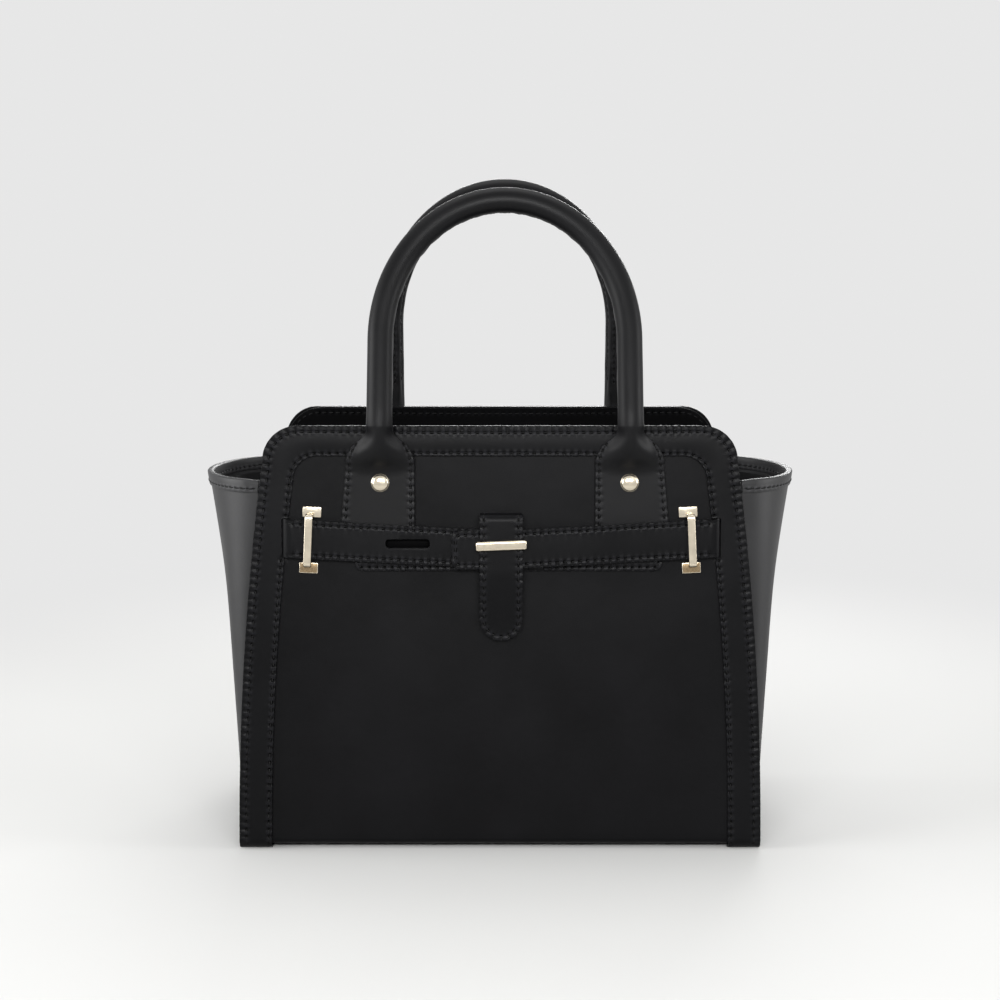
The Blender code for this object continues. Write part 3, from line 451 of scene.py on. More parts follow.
def mesh_piece(name, points, faces, look):
    """A smooth-shaded object from points and faces."""
    mesh = bpy.data.meshes.new(name)
    mesh.from_pydata([tuple(p) for p in points], [], faces)
    mesh.materials.append(look)
    mesh.shade_smooth()
    return placed(name, mesh)


def grid_faces(rows, closed=False):
    """The faces between rows of points, in open rows or closed rings."""
    size = len(rows[0])
    faces = []
    for r in range(len(rows) - 1):
        for i in range(size if closed else size - 1):
            a, b = r * size + i, r * size + (i + 1) % size
            faces.append([a, b, b + size, a + size])
    return faces


def outward(made):
    """Turns every face of a closed piece outward."""
    shell = bmesh.new()
    shell.from_mesh(made.data)
    bmesh.ops.recalc_face_normals(shell, faces=shell.faces)
    shell.to_mesh(made.data)
    shell.free()
    return made


def baked(made):
    """Applies a piece's modifiers."""
    graph = bpy.context.evaluated_depsgraph_get()
    mesh = bpy.data.meshes.new_from_object(made.evaluated_get(graph))
    made.modifiers.clear()
    made.data = mesh
    return made


def sheet(name, rows, thickness, look, flip=False, edge=0.4, cutters=()):
    """An open grid of points made into leather: a thickness behind its face, and rounded edges."""
    faces = [face[::-1] if flip else face for face in grid_faces(rows)]
    made = mesh_piece(name, [p for row in rows for p in row], faces, look)
    skin = made.modifiers.new("thickness", "SOLIDIFY")
    skin.thickness, skin.offset, skin.use_even_offset = thickness, -1, True
    for cutter in cutters:
        cut = made.modifiers.new("cut", "BOOLEAN")
        cut.operation, cut.solver, cut.object = "DIFFERENCE", "EXACT", cutter
    if edge:
        rounding = made.modifiers.new("edge", "BEVEL")
        rounding.width, rounding.segments = edge * thickness, 3
        rounding.limit_method, rounding.angle_limit = "ANGLE", math.radians(50)
    outward(baked(made))
    made.data.shade_smooth()
    return made


def loft(name, rings, look):
    """Closed rings joined one to the next, with a face over each end."""
    size = len(rings[0])
    points = [p for ring in rings for p in ring]
    ends = [list(range(size))[::-1], [len(points) - size + i for i in range(size)]]
    return outward(mesh_piece(name, points, grid_faces(rings, closed=True) + ends, look))


def block(name, size, place, look, bevel, segments=4):
    """A box with rounded edges, in a frame."""
    shape = bmesh.new()
    bmesh.ops.create_cube(shape, size=1.0)
    bmesh.ops.scale(shape, vec=size, verts=shape.verts)
    made = placed(name, mesh_of(name, shape))
    made.data.materials.append(look)
    rounding = made.modifiers.new("edge", "BEVEL")
    rounding.width, rounding.segments = bevel, segments
    baked(made)
    made.data.transform(place)
    made.data.shade_smooth()
    return made


def turned(name, profile, place, look, steps=48):
    """A profile of radius and height swept round Z, in a frame."""
    angles = spread(steps, 0, 2 * math.pi)[:-1]
    rings = [[place @ Vector((r * math.cos(a), r * math.sin(a), z)) for a in angles] for r, z in profile]
    return loft(name, rings, look)


def pin(place, low, high):
    """A thin steel pin along a frame's Z."""
    axis, radius = 0.0001, 0.0010
    return turned("pin", [(axis, high), (radius, high), (radius, low), (axis, low)], place, STEEL, 16)


def joined(name, pieces):
    """Several pieces made into one object."""
    shape = bmesh.new()
    looks = []
    for piece in pieces:
        start = len(shape.faces)
        shape.from_mesh(piece.data)
        shape.faces.ensure_lookup_table()
        look = piece.data.materials[0]
        if look not in looks:
            looks.append(look)
        for face in shape.faces[start:]:
            face.material_index = looks.index(look)
        bpy.data.objects.remove(piece)
    made = placed(name, mesh_of(name, shape))
    for look in looks:
        made.data.materials.append(look)
    return made


def dress(name, look):
    """Gives a CAD node that stays in the scene its look."""
    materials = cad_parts[name].data.materials
    materials.clear()
    materials.append(look)


def settle(made, body, *nodes):
    """Hangs a piece on a body, in place of these nodes."""
    if nodes:
        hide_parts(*nodes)
    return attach(made, body)


def settle_over(made, body, start, end, *nodes):
    """Bakes a piece's place into its mesh, in place of these nodes; body, start and end are not used."""
    if nodes:
        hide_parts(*nodes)
    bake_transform(made)


# Stitching


def array_of(vectors):
    """Vectors as the rows of an array."""
    return np.array([tuple(v) for v in vectors])


class Row:
    """A row of stitches: its path, the ways out of the leather, and the ways to the open leather."""

    def __init__(self, points, outs, inners):
        source = array_of(points)
        steps = np.linalg.norm(np.diff(source, axis=0), axis=1)
        along = np.concatenate([[0.0], np.cumsum(steps)])
        self.marks = np.linspace(0.0, along[-1], max(2, round(along[-1] / ROW_STEP)))
        self.path = np.stack([np.interp(self.marks, along, source[:, k]) for k in range(3)], axis=1)
        nearest = np.argmin(((self.path[:, None] - source[None]) ** 2).sum(2), axis=1)
        self.outs, self.inners = array_of(outs)[nearest], array_of(inners)[nearest]
        self.pitch = self.marks[-1] / max(1, round(self.marks[-1] / PITCH))


def relief(seam, phase):
    """How far sewn leather stands out and spreads to its edge: sunk at the row, gathered between the holes.

    Millimetres go in, with the edge's side below 0, and metres come out.
    """
    beside = np.abs(seam)
    # Gathered between the holes and pulled in at them, more at some stitches than at others
    uneven = 0.85 + 0.25 * np.sin(0.9 * phase) + 0.15 * np.sin(0.37 * phase + 1.0)
    gather = (2 * np.abs(np.sin(np.pi * phase)) ** 0.7 - 1.2) * uneven
    # The gathers run out to the edge and die away in the open leather, and there are none at the row
    reach = np.where(seam < 0, np.clip(1.5 - beside / 3.2, 0.0, 1.0), np.exp(-((beside / 1.5) ** 2)))
    aside = 1 - np.exp(-((beside / 0.45) ** 2))
    raised = PUCKER * gather * reach * aside - SUNK * np.exp(-((beside / 0.6) ** 2))
    to_edge = np.clip(-seam - 0.5, 0.0, 1.0) * np.clip(4.2 - beside, 0.0, 1.0)
    return 0.001 * raised, 0.001 * SCALLOP * gather * to_edge


def pull_in(made, rows=(), strength=1.0):
    """Writes seam and phase on a piece's points, from the stitch rows on it, and shapes the leather there."""
    co = array_of(v.co for v in made.data.vertices)
    best, outs, inners = np.full(len(co), 1.0), np.zeros((len(co), 3)), np.zeros((len(co), 3))
    seam, phase = np.full(len(co), FAR_OFF), np.zeros(len(co))
    for row in rows:
        tree = KDTree(len(row.path))
        for number, place in enumerate(row.path):
            tree.insert(place, number)
        tree.balance()
        for here, place in enumerate(co):
            _, near, distance = tree.find(place)
            if distance < best[here]:
                aside = (place - row.path[near]) @ row.inners[near]
                best[here], outs[here], inners[here] = distance, row.outs[near], row.inners[near]
                seam[here] = math.copysign(1000 * min(distance, DRAWN), aside)
                phase[here] = row.marks[near] / row.pitch
    if rows:
        normals = array_of(v.normal for v in made.data.vertices)
        facing_out = np.clip(2 * (normals * outs).sum(1) - 1, 0.0, 1.0)
        near = strength * (best < DRAWN)
        raised, spread_out = relief(seam, phase)
        moved = co + outs * (near * raised * facing_out)[:, None] - inners * (near * spread_out)[:, None]
        made.data.vertices.foreach_set("co", moved.ravel())
        made.data.update()
    for name, values in (("seam", np.abs(seam)), ("phase", phase)):
        written = made.data.attributes.new(name, "FLOAT", "POINT")
        written.data.foreach_set("value", values.astype(np.float32))


def stitch_shape():
    """One stitch of thread: an arched capsule whose ends go down into the leather."""
    length, radius, skew, rise, dip = 0.0031, 0.00038, 0.00012, 0.00004, 0.00060
    rings = []
    for share in spread(8, -1.0, 1.0):
        thick = radius * (0.35 + 0.65 * math.sqrt(max(1 - share**4, 0.0)))
        centre = Vector((share * length / 2, share * skew, rise - dip * share**4))
        rings.append([
            centre + Vector((0.0, thick * math.cos(a), 0.8 * thick * math.sin(a)))
            for a in spread(8, 0, 2 * math.pi)[:-1]
        ])
    return loft("stitch_shape", rings, THREAD)


def stitch_nodes():
    """Geometry nodes that lay a stitch at each step of a path, turned to the path and the leather."""
    tree = bpy.data.node_groups.new("stitch_row", "GeometryNodeTree")
    sockets = tree.interface
    sockets.new_socket("Path", in_out="INPUT", socket_type="NodeSocketGeometry")
    pitch = sockets.new_socket("Pitch", in_out="INPUT", socket_type="NodeSocketFloat")
    shape = sockets.new_socket("Stitch", in_out="INPUT", socket_type="NodeSocketObject")
    sockets.new_socket("Stitches", in_out="OUTPUT", socket_type="NodeSocketGeometry")
    start, end = tree.nodes.new("NodeGroupInput"), tree.nodes.new("NodeGroupOutput")
    curve = node(tree, "GeometryNodeMeshToCurve", {"Mesh": start.outputs["Path"]})
    links = {"Curve": curve.outputs["Curve"], "Length": start.outputs["Pitch"]}
    even = node(tree, "GeometryNodeResampleCurve", links, mode="LENGTH")
    out = node(tree, "GeometryNodeInputNamedAttribute", {"Name": "out"}, data_type="FLOAT_VECTOR")
    tangent = node(tree, "GeometryNodeInputTangent")
    first = node(tree, "FunctionNodeAlignRotationToVector", {"Vector": tangent.outputs[0]}, axis="X")
    links = {"Rotation": first.outputs[0], "Vector": out.outputs["Attribute"]}
    second = node(tree, "FunctionNodeAlignRotationToVector", links, axis="Z", pivot_axis="X")
    held = node(tree, "GeometryNodeObjectInfo", {"Object": start.outputs["Stitch"]})
    links = {
        "Points": even.outputs["Curve"], "Instance": held.outputs["Geometry"], "Rotation": second.outputs[0],
    }
    laid = node(tree, "GeometryNodeInstanceOnPoints", links)
    real = node(tree, "GeometryNodeRealizeInstances", {"Geometry": laid.outputs["Instances"]})
    painted = node(tree, "GeometryNodeSetMaterial", {"Geometry": real.outputs[0], "Material": THREAD})
    tree.links.new(painted.outputs[0], end.inputs["Stitches"])
    return tree, pitch.identifier, shape.identifier


STITCH = stitch_shape()
STITCH_NODES, PITCH_SOCKET, SHAPE_SOCKET = stitch_nodes()


def stitches(name, rows):
    """The thread of several rows, as one piece."""
    made = []
    for number, row in enumerate(rows):
        first = 0.5 * row.pitch
        keep = (row.marks > first - 1e-9) & (row.marks < row.marks[-1] - first + 1e-9)
        path, outs = row.path[keep], row.outs[keep]
        mesh = bpy.data.meshes.new("path")
        mesh.from_pydata(path.tolist(), [(i, i + 1) for i in range(len(path) - 1)], [])
        written = mesh.attributes.new("out", "FLOAT_VECTOR", "POINT")
        written.data.foreach_set("vector", outs.ravel().astype(np.float32))
        line = placed(f"{name}_{number}", mesh)
        laid = line.modifiers.new("stitches", "NODES")
        laid.node_group = STITCH_NODES
        laid[PITCH_SOCKET], laid[SHAPE_SOCKET] = row.pitch, STITCH
        made.append(baked(line))
    piece = joined(name, made)
    piece.data.shade_smooth()
    return piece


def sewn(name, parts, *nodes, strength=1.0):
    """Settles a piece of the bag with the stitches that run on it. parts is the piece and its rows."""
    made, rows = parts
    pull_in(made, rows, strength)
    settle(made, "bag", *nodes)
    settle(stitches(name + "_thread", rows), "bag")


def wall_row(places, inner_side, rear=False):
    """A stitch row on a wall from (x, s, n) places, with the open leather towards inner_side(x, s)."""
    turn, short = wall_turn(rear), 0.001
    outs, inners = [], []
    for x, s, n in places:
        here = lay(x, s, n)
        outs.append(turn((lay(x, s, n + short) - here).normalized()))
        dx, ds = inner_side(x, s)
        inners.append(turn((lay(x + short * dx, s + short * ds, n) - here).normalized()))
    return Row([turn(lay(*place)) for place in places], outs, inners)


# Walls


def fullness(x, s, top):
    """How far the open leather of a wall stands out between its seams."""
    foot, half = 0.014, 0.124
    up = clamped((s - foot) / (top - foot))
    across = max(1 - (x / half) ** 2, 0.0)
    wave = 0.00025 * math.sin(31 * x + 40 * s) + 0.0002 * math.sin(57 * x - 23 * s)
    return across * math.sin(math.pi * up) ** 1.2 * (0.0016 + wave)


STRAP_FOLDS = {side: edge_half(strap_line(WIDTH / 2)) - inset for side, inset in STRAP_FOLD_INSETS.items()}


def strap_cutters(word, wide):
    """A box at each strap's fold, to cut a hole of this width for it."""
    boxes = []
    for side, fold_x in STRAP_FOLDS.items():
        place = wall_frame(side * (fold_x + GAP / 2 - wide / 2), strap_line(fold_x), 0.0)
        boxes.append(block(f"{word}_{side}", (wide, STRAP_WIDTH + GAP, 0.02), place, CALF, 0.0002, 1))
    return boxes


SLITS, NOTCHES = strap_cutters("slit", STRAP + 2 * GAP), strap_cutters("notch", NOTCH)


def panel(name, rear):
    """A wall of calf with its bottom folded in."""
    turn, inset = wall_turn(rear), 0.0004
    # The leather is full up to the patch in front, and higher on the plain rear wall
    top = PATCH_FOOT + (0.009 if rear else -0.007)
    heights = [FOLD_END - PANEL_FLAP] + spread(10, FOLD_END, FOLD_START)
    heights += spread(40, FOLD_START, WALL - CORNER)[1:] + up_corner(WALL - CORNER, CORNER, 10)
    rows = []
    for s in heights:
        across = [share * (edge_half(s) - inset) for share in spread(40, -1.0, 1.0)]
        rows.append([turn(lay(x, s, fullness(x, s, top))) for x in across])
    return sheet(name, rows, LEATHER, CALF, cutters=() if rear else SLITS)


def band_edges():
    """Outer and inner edge of the band's right half, from under the bag to the middle of the top."""
    corner_foot, inner_corner = WALL - CORNER, WALL - BAND_TOP - BAND_CORNER
    heights = [FOLD_END - BAND_FLAP] + spread(10, FOLD_END, FOLD_START)
    heights += spread(50, FOLD_START, inner_corner)[1:]
    edges = [(edge_half(s), s, edge_half(s) - BAND_SIDE, s) for s in heights]
    corner_x = edge_half(corner_foot) - CORNER
    inner_x = edge_half(inner_corner) - BAND_SIDE - BAND_CORNER
    outer = arc(corner_x, corner_foot, CORNER, 0.0, math.pi / 2, 16)
    inner = arc(inner_x, inner_corner, BAND_CORNER, 0.0, math.pi / 2, 16)
    edges += [(*o, *i) for o, i in zip(outer, inner)]
    edges += [(corner_x * (1 - t), WALL, inner_x * (1 - t), WALL - BAND_TOP) for t in spread(30)[1:]]
    return edges


def finer(places, step):
    """The same line of places with no step longer than this."""
    found = [places[0]]
    for last, here in zip(places, places[1:]):
        gap = max(math.hypot(here[k] - last[k], here[k + 1] - last[k + 1]) for k in range(0, len(here), 2))
        for t in spread(max(1, math.ceil(gap / step)))[1:]:
            found.append(tuple(a + (b - a) * t for a, b in zip(last, here)))
    return found


BAND_PATH = finer([(-ox, o, -ix, i) for ox, o, ix, i in band_edges()] + band_edges()[-2::-1], BAND_STEP)


def band_place(edges, distance, from_inner=False):
    """A place at a distance in from the band's outer edge, or out from its inner one."""
    ox, o, ix, i = edges
    length = math.hypot(ix - ox, i - o)
    share = 1 - distance / length if from_inner else distance / length
    return ox + (ix - ox) * share, o + (i - o) * share


def band_lift(share, s):
    """The band's leather is full between its rows, and flat under the bag."""
    full = 0.0003 * max(math.sin(math.pi * clamped((share - 0.2) / 0.72)), 0.0)
    return full * soft((s - FOLD_END) / (2 * (FOLD_START - FOLD_END)))


def from_edge(x, s):
    """The way across a band from the wall's outer edge: inward at the sides, down and inward above."""
    half, side_end = 0.14, WALL - 0.0415
    inward = -x / half
    return (inward, 0.0) if s < side_end else (0.6 * inward, -0.8)


def to_edge(x, s):
    """The way across a band to the wall's outer edge."""
    return tuple(-v for v in from_edge(x, s))


def band(name, rear):
    """The band that frames a wall, with a row of stitches along each edge; the belt breaks the inner one."""
    turn = wall_turn(rear)
    shares = spread(12, 0.0, 0.42) + spread(4, 0.42, 0.72)[1:-1] + spread(10, 0.72, 1.0)
    rows = []
    for ox, o, ix, i in BAND_PATH:
        row = [(ox + (ix - ox) * t, o + (i - o) * t, LAYER + band_lift(t, o)) for t in shares]
        rows.append([turn(lay(*p)) for p in row])
    made = sheet(name, rows, LEATHER, CALF, cutters=() if rear else NOTCHES)
    sewn_part = [edges for edges in BAND_PATH if edges[1] > FOLD_START - 0.002]
    outer = [(*band_place(edges, OUTER_ROW), LAYER + PROUD) for edges in sewn_part]
    inner = [(*band_place(edges, INNER_ROW, True), LAYER + PROUD) for edges in sewn_part]
    runs, covered = [[]], STRAP_WIDTH / 2 + 0.0015
    for place in inner:
        if rear or abs(place[1] - strap_line(abs(place[0]))) >= covered:
            runs[-1].append(place)
        elif runs[-1]:
            runs.append([])
    return made, [wall_row(outer, from_edge, rear)] + [wall_row(run, to_edge, rear) for run in runs]


def facing(name, rear):
    """The leather facing inside the top of a wall, with the same top row of stitches."""
    turn = wall_turn(rear)
    rim_s = RIM / math.cos(LEAN) + 2 * GAP
    narrow = SETBACK + FLANGE + 2 * GAP
    foot = WALL - FACING_EDGE - CORNER
    heights = [(s, narrow) for s in spread(6, FACING_FOOT, rim_s)]
    heights += [(s, FACING_EDGE) for s in [rim_s + 0.0018, foot] + up_corner(foot, CORNER, 14)]
    rows = []
    for s, back in heights:
        rows.append([turn(lay(t * (edge_half(s) - back), s, -LAYER)) for t in spread(30, -1.0, 1.0)])
    places = [band_place(edges, OUTER_ROW) for edges in BAND_PATH]
    places = [(x, s, -LAYER - LEATHER) for x, s in places if s > rim_s + 0.004]
    row = wall_row(places, from_edge, rear)
    row.outs = -row.outs
    return sheet(name, rows, LEATHER, SHADED_INNER_CALF), [row]


for word, rear in (("front", False), ("rear", True)):
    wall = panel(f"{word}_wall", rear)
    pull_in(wall)
    settle(wall, "bag", f"{word}_panel")
    sewn(f"{word}_frame_band", band(f"{word}_frame_band", rear), f"{word}_band")
    sewn(f"{word}_inner_facing", facing(f"{word}_inner_facing", rear), f"{word}_facing", strength=0.0)


# Sides, base and lining


def side_ripple(turn, z):
    """A slight unevenness of a wing's leather, none at its seams."""
    height = clamped(z / RIM)
    shape = math.cos(turn) ** 2 * math.sin(math.pi * min(height * 1.02, 1.0)) ** 0.6
    return shape * (0.0006 * math.sin(5 * turn + 9 * height) - 0.0008 * math.cos(2.2 * turn) * height)


def gusset(name, side):
    """A winged side wall, with its seam flanges and its flap under the lining."""
    turns = [math.radians(a) for a in spread(60, -90, 90)]
    foot = 2 * LAYER
    levels = [foot + (GUSSET_FOLD_Z - foot) * (1 - math.cos(a)) for a in spread(4, 0.35, math.pi / 2)]
    rows = [[gusset_point(turn, foot) - Vector((GUSSET_FOLD + GUSSET_FLAP, 0, 0)) for turn in turns]]
    for z in levels[:-1] + spread(44, GUSSET_FOLD_Z, RIM):
        pull = Vector((gusset_drawn_in(z), 0.0, 0.0))
        rows.append([gusset_point(turn, z, -side_ripple(turn, z)) - pull for turn in turns])
    for number, row in enumerate(rows):
        flange = Vector((FLANGE if number >= len(levels) else 0.0015, 0, 0))
        row.insert(0, row[0] - flange)
        row.append(row[-1] - flange)
    rows = [[mirrored(p, side) for p in row] for row in rows]
    return sheet(name, rows, LEATHER, LIT_WING_CALF, flip=side < 0)


def binding_section(pared):
    """The strip's section over the rim as (out, height) places, with its outer and inner face."""
    foot, top = RIM - BINDING_HEIGHT, RIM + 2 * GAP
    outer, inner = 0.4 * GAP + (0.6 * GAP + BINDING) * pared, -LEATHER - 0.4 * GAP - 0.6 * GAP * pared
    thick, rise = 0.0001 + (BINDING - 0.0001) * pared, 0.0001 + 0.0008 * pared
    inside = inner - thick
    middle, reach = (outer + inside) / 2, (outer - inside) / 2
    levels = [foot + up for up in (0.0004, 0.0024, 0.0045)]
    crown = top + thick - rise
    section = [(outer - 0.25 * thick, foot)] + [(outer, z) for z in levels]
    section += [(middle + reach * math.cos(b), crown + rise * math.sin(b)) for b in spread(8, 0, math.pi)]
    section += [(inside, z) for z in reversed(levels)] + [(inside + 0.25 * thick, foot), (inner, foot)]
    section += [(middle + (reach - thick) * math.cos(b), top) for b in spread(4, math.pi, 0)]
    return section + [(outer - thick, foot)], outer, inside


def binding(name, side):
    """The strip folded over a wing's rim, pared thin towards the walls and stitched through on both faces."""
    low = RIM - BINDING_HEIGHT + 0.0022
    rings, rows = [], ([], [])
    for a in spread(100, -84, 84):
        turn, short = math.radians(a), 0.001
        section, outer, inside = binding_section(1 - soft((abs(a) - 70) / 12))
        along = gusset_point(turn + short, RIM) - gusset_point(turn - short, RIM)
        normal = Vector((along.y, -along.x, 0.0)).normalized()
        ring = [gusset_point(turn, min(z, RIM)) + normal * out for out, z in section]
        rings.append([Vector((side * p.x, p.y, z)) for p, (_, z) in zip(ring, section)])
        if abs(a) <= 82:
            for run, out, way in zip(rows, (outer + PROUD, inside - PROUD), (1, -1)):
                place = mirrored(gusset_point(turn, low) + normal * out, side)
                run.append((place, mirrored(way * normal, side)))
    down = Vector((0.0, 0.0, -1.0))
    return loft(name, rings, LIT_WING_CALF), [Row(*zip(*run), [down] * len(run)) for run in rows]


def lining_walls():
    """The cloth walls of the lining, one strip all the way round, with its cut size and its area.

    The strip is cut to the way round the bag below the middle of its height.
    """
    foot = 3 * LAYER
    levels = [foot, foot + 0.0012, foot + 0.0025, FOLD_Z + FOLD]
    levels += spread(16, FOLD_Z + FOLD, LINING_TOP)[1:]
    turns = [math.radians(a) for a in spread(36, -90, 90)]
    rows = []
    for z in levels:
        inward = 2 * LAYER + gusset_drawn_in(z)
        slack = 0.0006 * math.sin(math.pi * (z - foot) / (LINING_TOP - foot))
        behind = GAP + STRAP + GAP + slack
        half = [gusset_point(a, z, inward + slack * (1 + math.sin(6 * a)), behind) for a in turns]
        end = mirrored(half[-1], -1)
        half += [half[-1].lerp(end, share) for share in spread(30)[1:-1]]
        rows.append(half + [to_rear(p) for p in half])
    points = [p for row in rows for p in row]
    made = mesh_piece("lining_walls", points, grid_faces(rows, closed=True), LINING)
    skin = made.modifiers.new("thickness", "SOLIDIFY")
    skin.thickness, skin.offset = CLOTH, -1
    outward(baked(made))
    strip = rows[8]
    girth = sum((strip[i] - strip[i - 1]).length for i in range(len(strip)))
    return made, (girth, LINING_TOP - foot), sum(p.area for p in made.data.polygons) / 2


def lining_floor(size):
    """The cloth laid on the bottom, with a slight wave."""
    height = 3 * LAYER + 0.0014 + CLOTH
    rows = []
    for y in spread(12, -size[1] / 2, size[1] / 2):
        across = spread(24, -size[0] / 2, size[0] / 2)
        rows.append([Vector((x, y, height + 0.0003 * math.sin(60 * x) * math.cos(70 * y))) for x in across])
    return sheet("lining_floor", rows, CLOTH, LINING, edge=0.0)


def base_leather():
    """The leather under the bag, turned up over the ends of the board."""
    low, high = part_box("base_panel")
    middle, soft_edge = Matrix.Translation((low + high) / 2), 0.0005
    turned_up, end_x, lift = (0.0017, 0.120, 0.0040), 0.14815, LEATHER + 0.0016
    pieces = [block("base_leather", tuple(high - low), middle, CALF, soft_edge, 3)]
    for side in (-1, 1):
        end = Matrix.Translation((side * end_x, 0.0, lift))
        pieces.append(block("turned_up_edge", turned_up, end, CALF, soft_edge, 3))
    made = joined("base_leather", pieces)
    made.data.shade_smooth()
    return made


for word, side in (("left", -1), ("right", 1)):
    wing = gusset(f"{word}_wing", side)
    pull_in(wing)
    settle(wing, "bag", f"{word}_gusset")
    edged = binding(f"{word}_wing_binding", side)
    sewn(f"{word}_wing_binding", edged, f"{word}_rim_binding", strength=0.0)

walls, cut, cloth_area = lining_walls()
settle(walls, "bag", "lining")
floor_size = (0.269, 0.109)
cloth_floor = settle(lining_floor(floor_size), "bag")

base = base_leather()
pull_in(base)
settle(base, "bag", "base_panel")
dress("base_board", BOARD)


# Handles


def tab_half(s):
    """Half the width of a handle tab, which necks in to the grip with round shoulders."""
    neck = math.sin(math.pi / 2 * clamped((NECK_TOP - s) / NECK))
    half = GRIP + GAP + (TAB_WIDTH / 2 - GRIP - GAP) * neck
    return cornered(half, TAB_CORNER, TAB_FOOT + TAB_CORNER - s)


def tab_across(share, s):
    """How far a place on a tab is inward of the leg's middle; the outer edge flares to the foot."""
    shoulder = NECK_TOP - NECK
    flare = TAB_FLARE * max(shoulder - s, 0.0) / (shoulder - TAB_FOOT)
    return tab_half(s) * share - flare * (1 - share) / 2


def tab_seat(s):
    """Height of a tab's back off the wall: on the wall below, on the band above."""
    step = WALL - BAND_TOP - GAP - s
    return GAP + LAYER * (1 - soft(step / TAB_STEP))


def tab_face(share, s):
    """Height of a tab's face off the wall, swelling into the rolled handle."""
    swell = SWELL * gradual(1 - (PIVOT_S - s - GRIP) / SWELL_LENGTH)
    return tab_seat(s) + TAB_LEATHER + swell * (1 - share**2) ** 2


def tab_ring(x, s, side):
    """A section of tab and leg at s on the wall: flat where it is sewn, round at the top."""
    roundness = soft((s - ROUND_FROM) / ROUND_LENGTH)
    ring = []
    for k in range(RING):
        a = 2 * math.pi * k / RING
        share, up = math.cos(a), math.sin(a)
        level = 0.5 + 0.5 * math.copysign(min(1.0, abs(up) / 0.21), up)
        swell = max(2 * level - 1, 0.0) * (tab_face(share, s) - tab_seat(s) - TAB_LEATHER)
        flat = tab_across(share, s), tab_seat(s) + level * TAB_LEATHER + swell
        rounded = GRIP * share * 1.02, PIVOT_OUT + GRIP * up
        across, out = (a + (b - a) * roundness for a, b in zip(flat, rounded))
        ring.append(lay(x + side * across, s, out))
    return ring


def tab_row(x, side, rear):
    """The row of stitches down, round and up a tab, inside its edge."""
    foot, top, shoulder, half = TAB_FOOT + TAB_CORNER, WALL - 0.0070, WALL - 0.0195, 0.018
    # The row comes nearer to the edge at the neck
    inset = [(s, TAB_ROW * (1 - 0.4 * soft((s - shoulder) / 0.012))) for s in spread(60, top, foot)]
    outline = [(tab_half(s) - back, s) for s, back in inset]
    outline += arc(tab_half(foot) - TAB_CORNER, foot, TAB_CORNER - TAB_ROW, 0.0, -math.pi / 2, 6)[1:]
    outline += [(across, TAB_FOOT + TAB_ROW) for across in spread(8, outline[-1][0], 0.0)[1:]]
    places = []
    for across, s in both_sides(outline):
        share = across / tab_half(s)
        places.append((x + side * tab_across(share, s), s, tab_face(share, s) + PROUD))

    def inward(px, s):
        away = (x - px) / half
        return (away, 0.0) if s > foot else (0.5 * away, 0.8)

    return wall_row(places, inward, rear)


def grip_line(lean, shift):
    """The handle's middle line above its pivots, left leg to right: centres, ways along, and the way out."""
    half = HANDLE_SPREAD / 2
    path = [Vector((shift - half, 0.0, LEG * t)) for t in spread(12, 0.14)[:-1]]
    legs = [Vector((2 * shift - p.x, 0.0, p.z)) for p in reversed(path)]
    for a in spread(72, math.pi, 0.0):
        path.append(Vector((shift + half * math.cos(a), 0.0, LEG + ARCH * math.sin(a))))
    path += legs
    last = len(path) - 1
    ways = [(path[min(i + 1, last)] - path[max(i - 1, 0)]).normalized() for i in range(len(path))]
    turn, pivot = Matrix.Rotation(-lean, 4, "X"), lay(0.0, PIVOT_S, PIVOT_OUT)
    return [pivot + turn @ p for p in path], [turn @ w for w in ways], turn @ Vector((0.0, -1.0, 0.0))


def grip_ring(centre, across, out, radius):
    """A round section of the grip, with the welt of its seam on the side towards the bag's middle."""
    ring = []
    for k in range(RING):
        a = 2 * math.pi * k / RING
        off = abs((a - SEAM_TURN + math.pi) % (2 * math.pi) - math.pi)
        welt = 0.0007 * math.exp(-(off / 0.26) ** 2) - 0.0003 * math.exp(-((off - 0.42) / 0.12) ** 2)
        reach = radius + welt
        ring.append(centre + across * reach * math.cos(a) + out * reach * math.sin(a))
    return ring


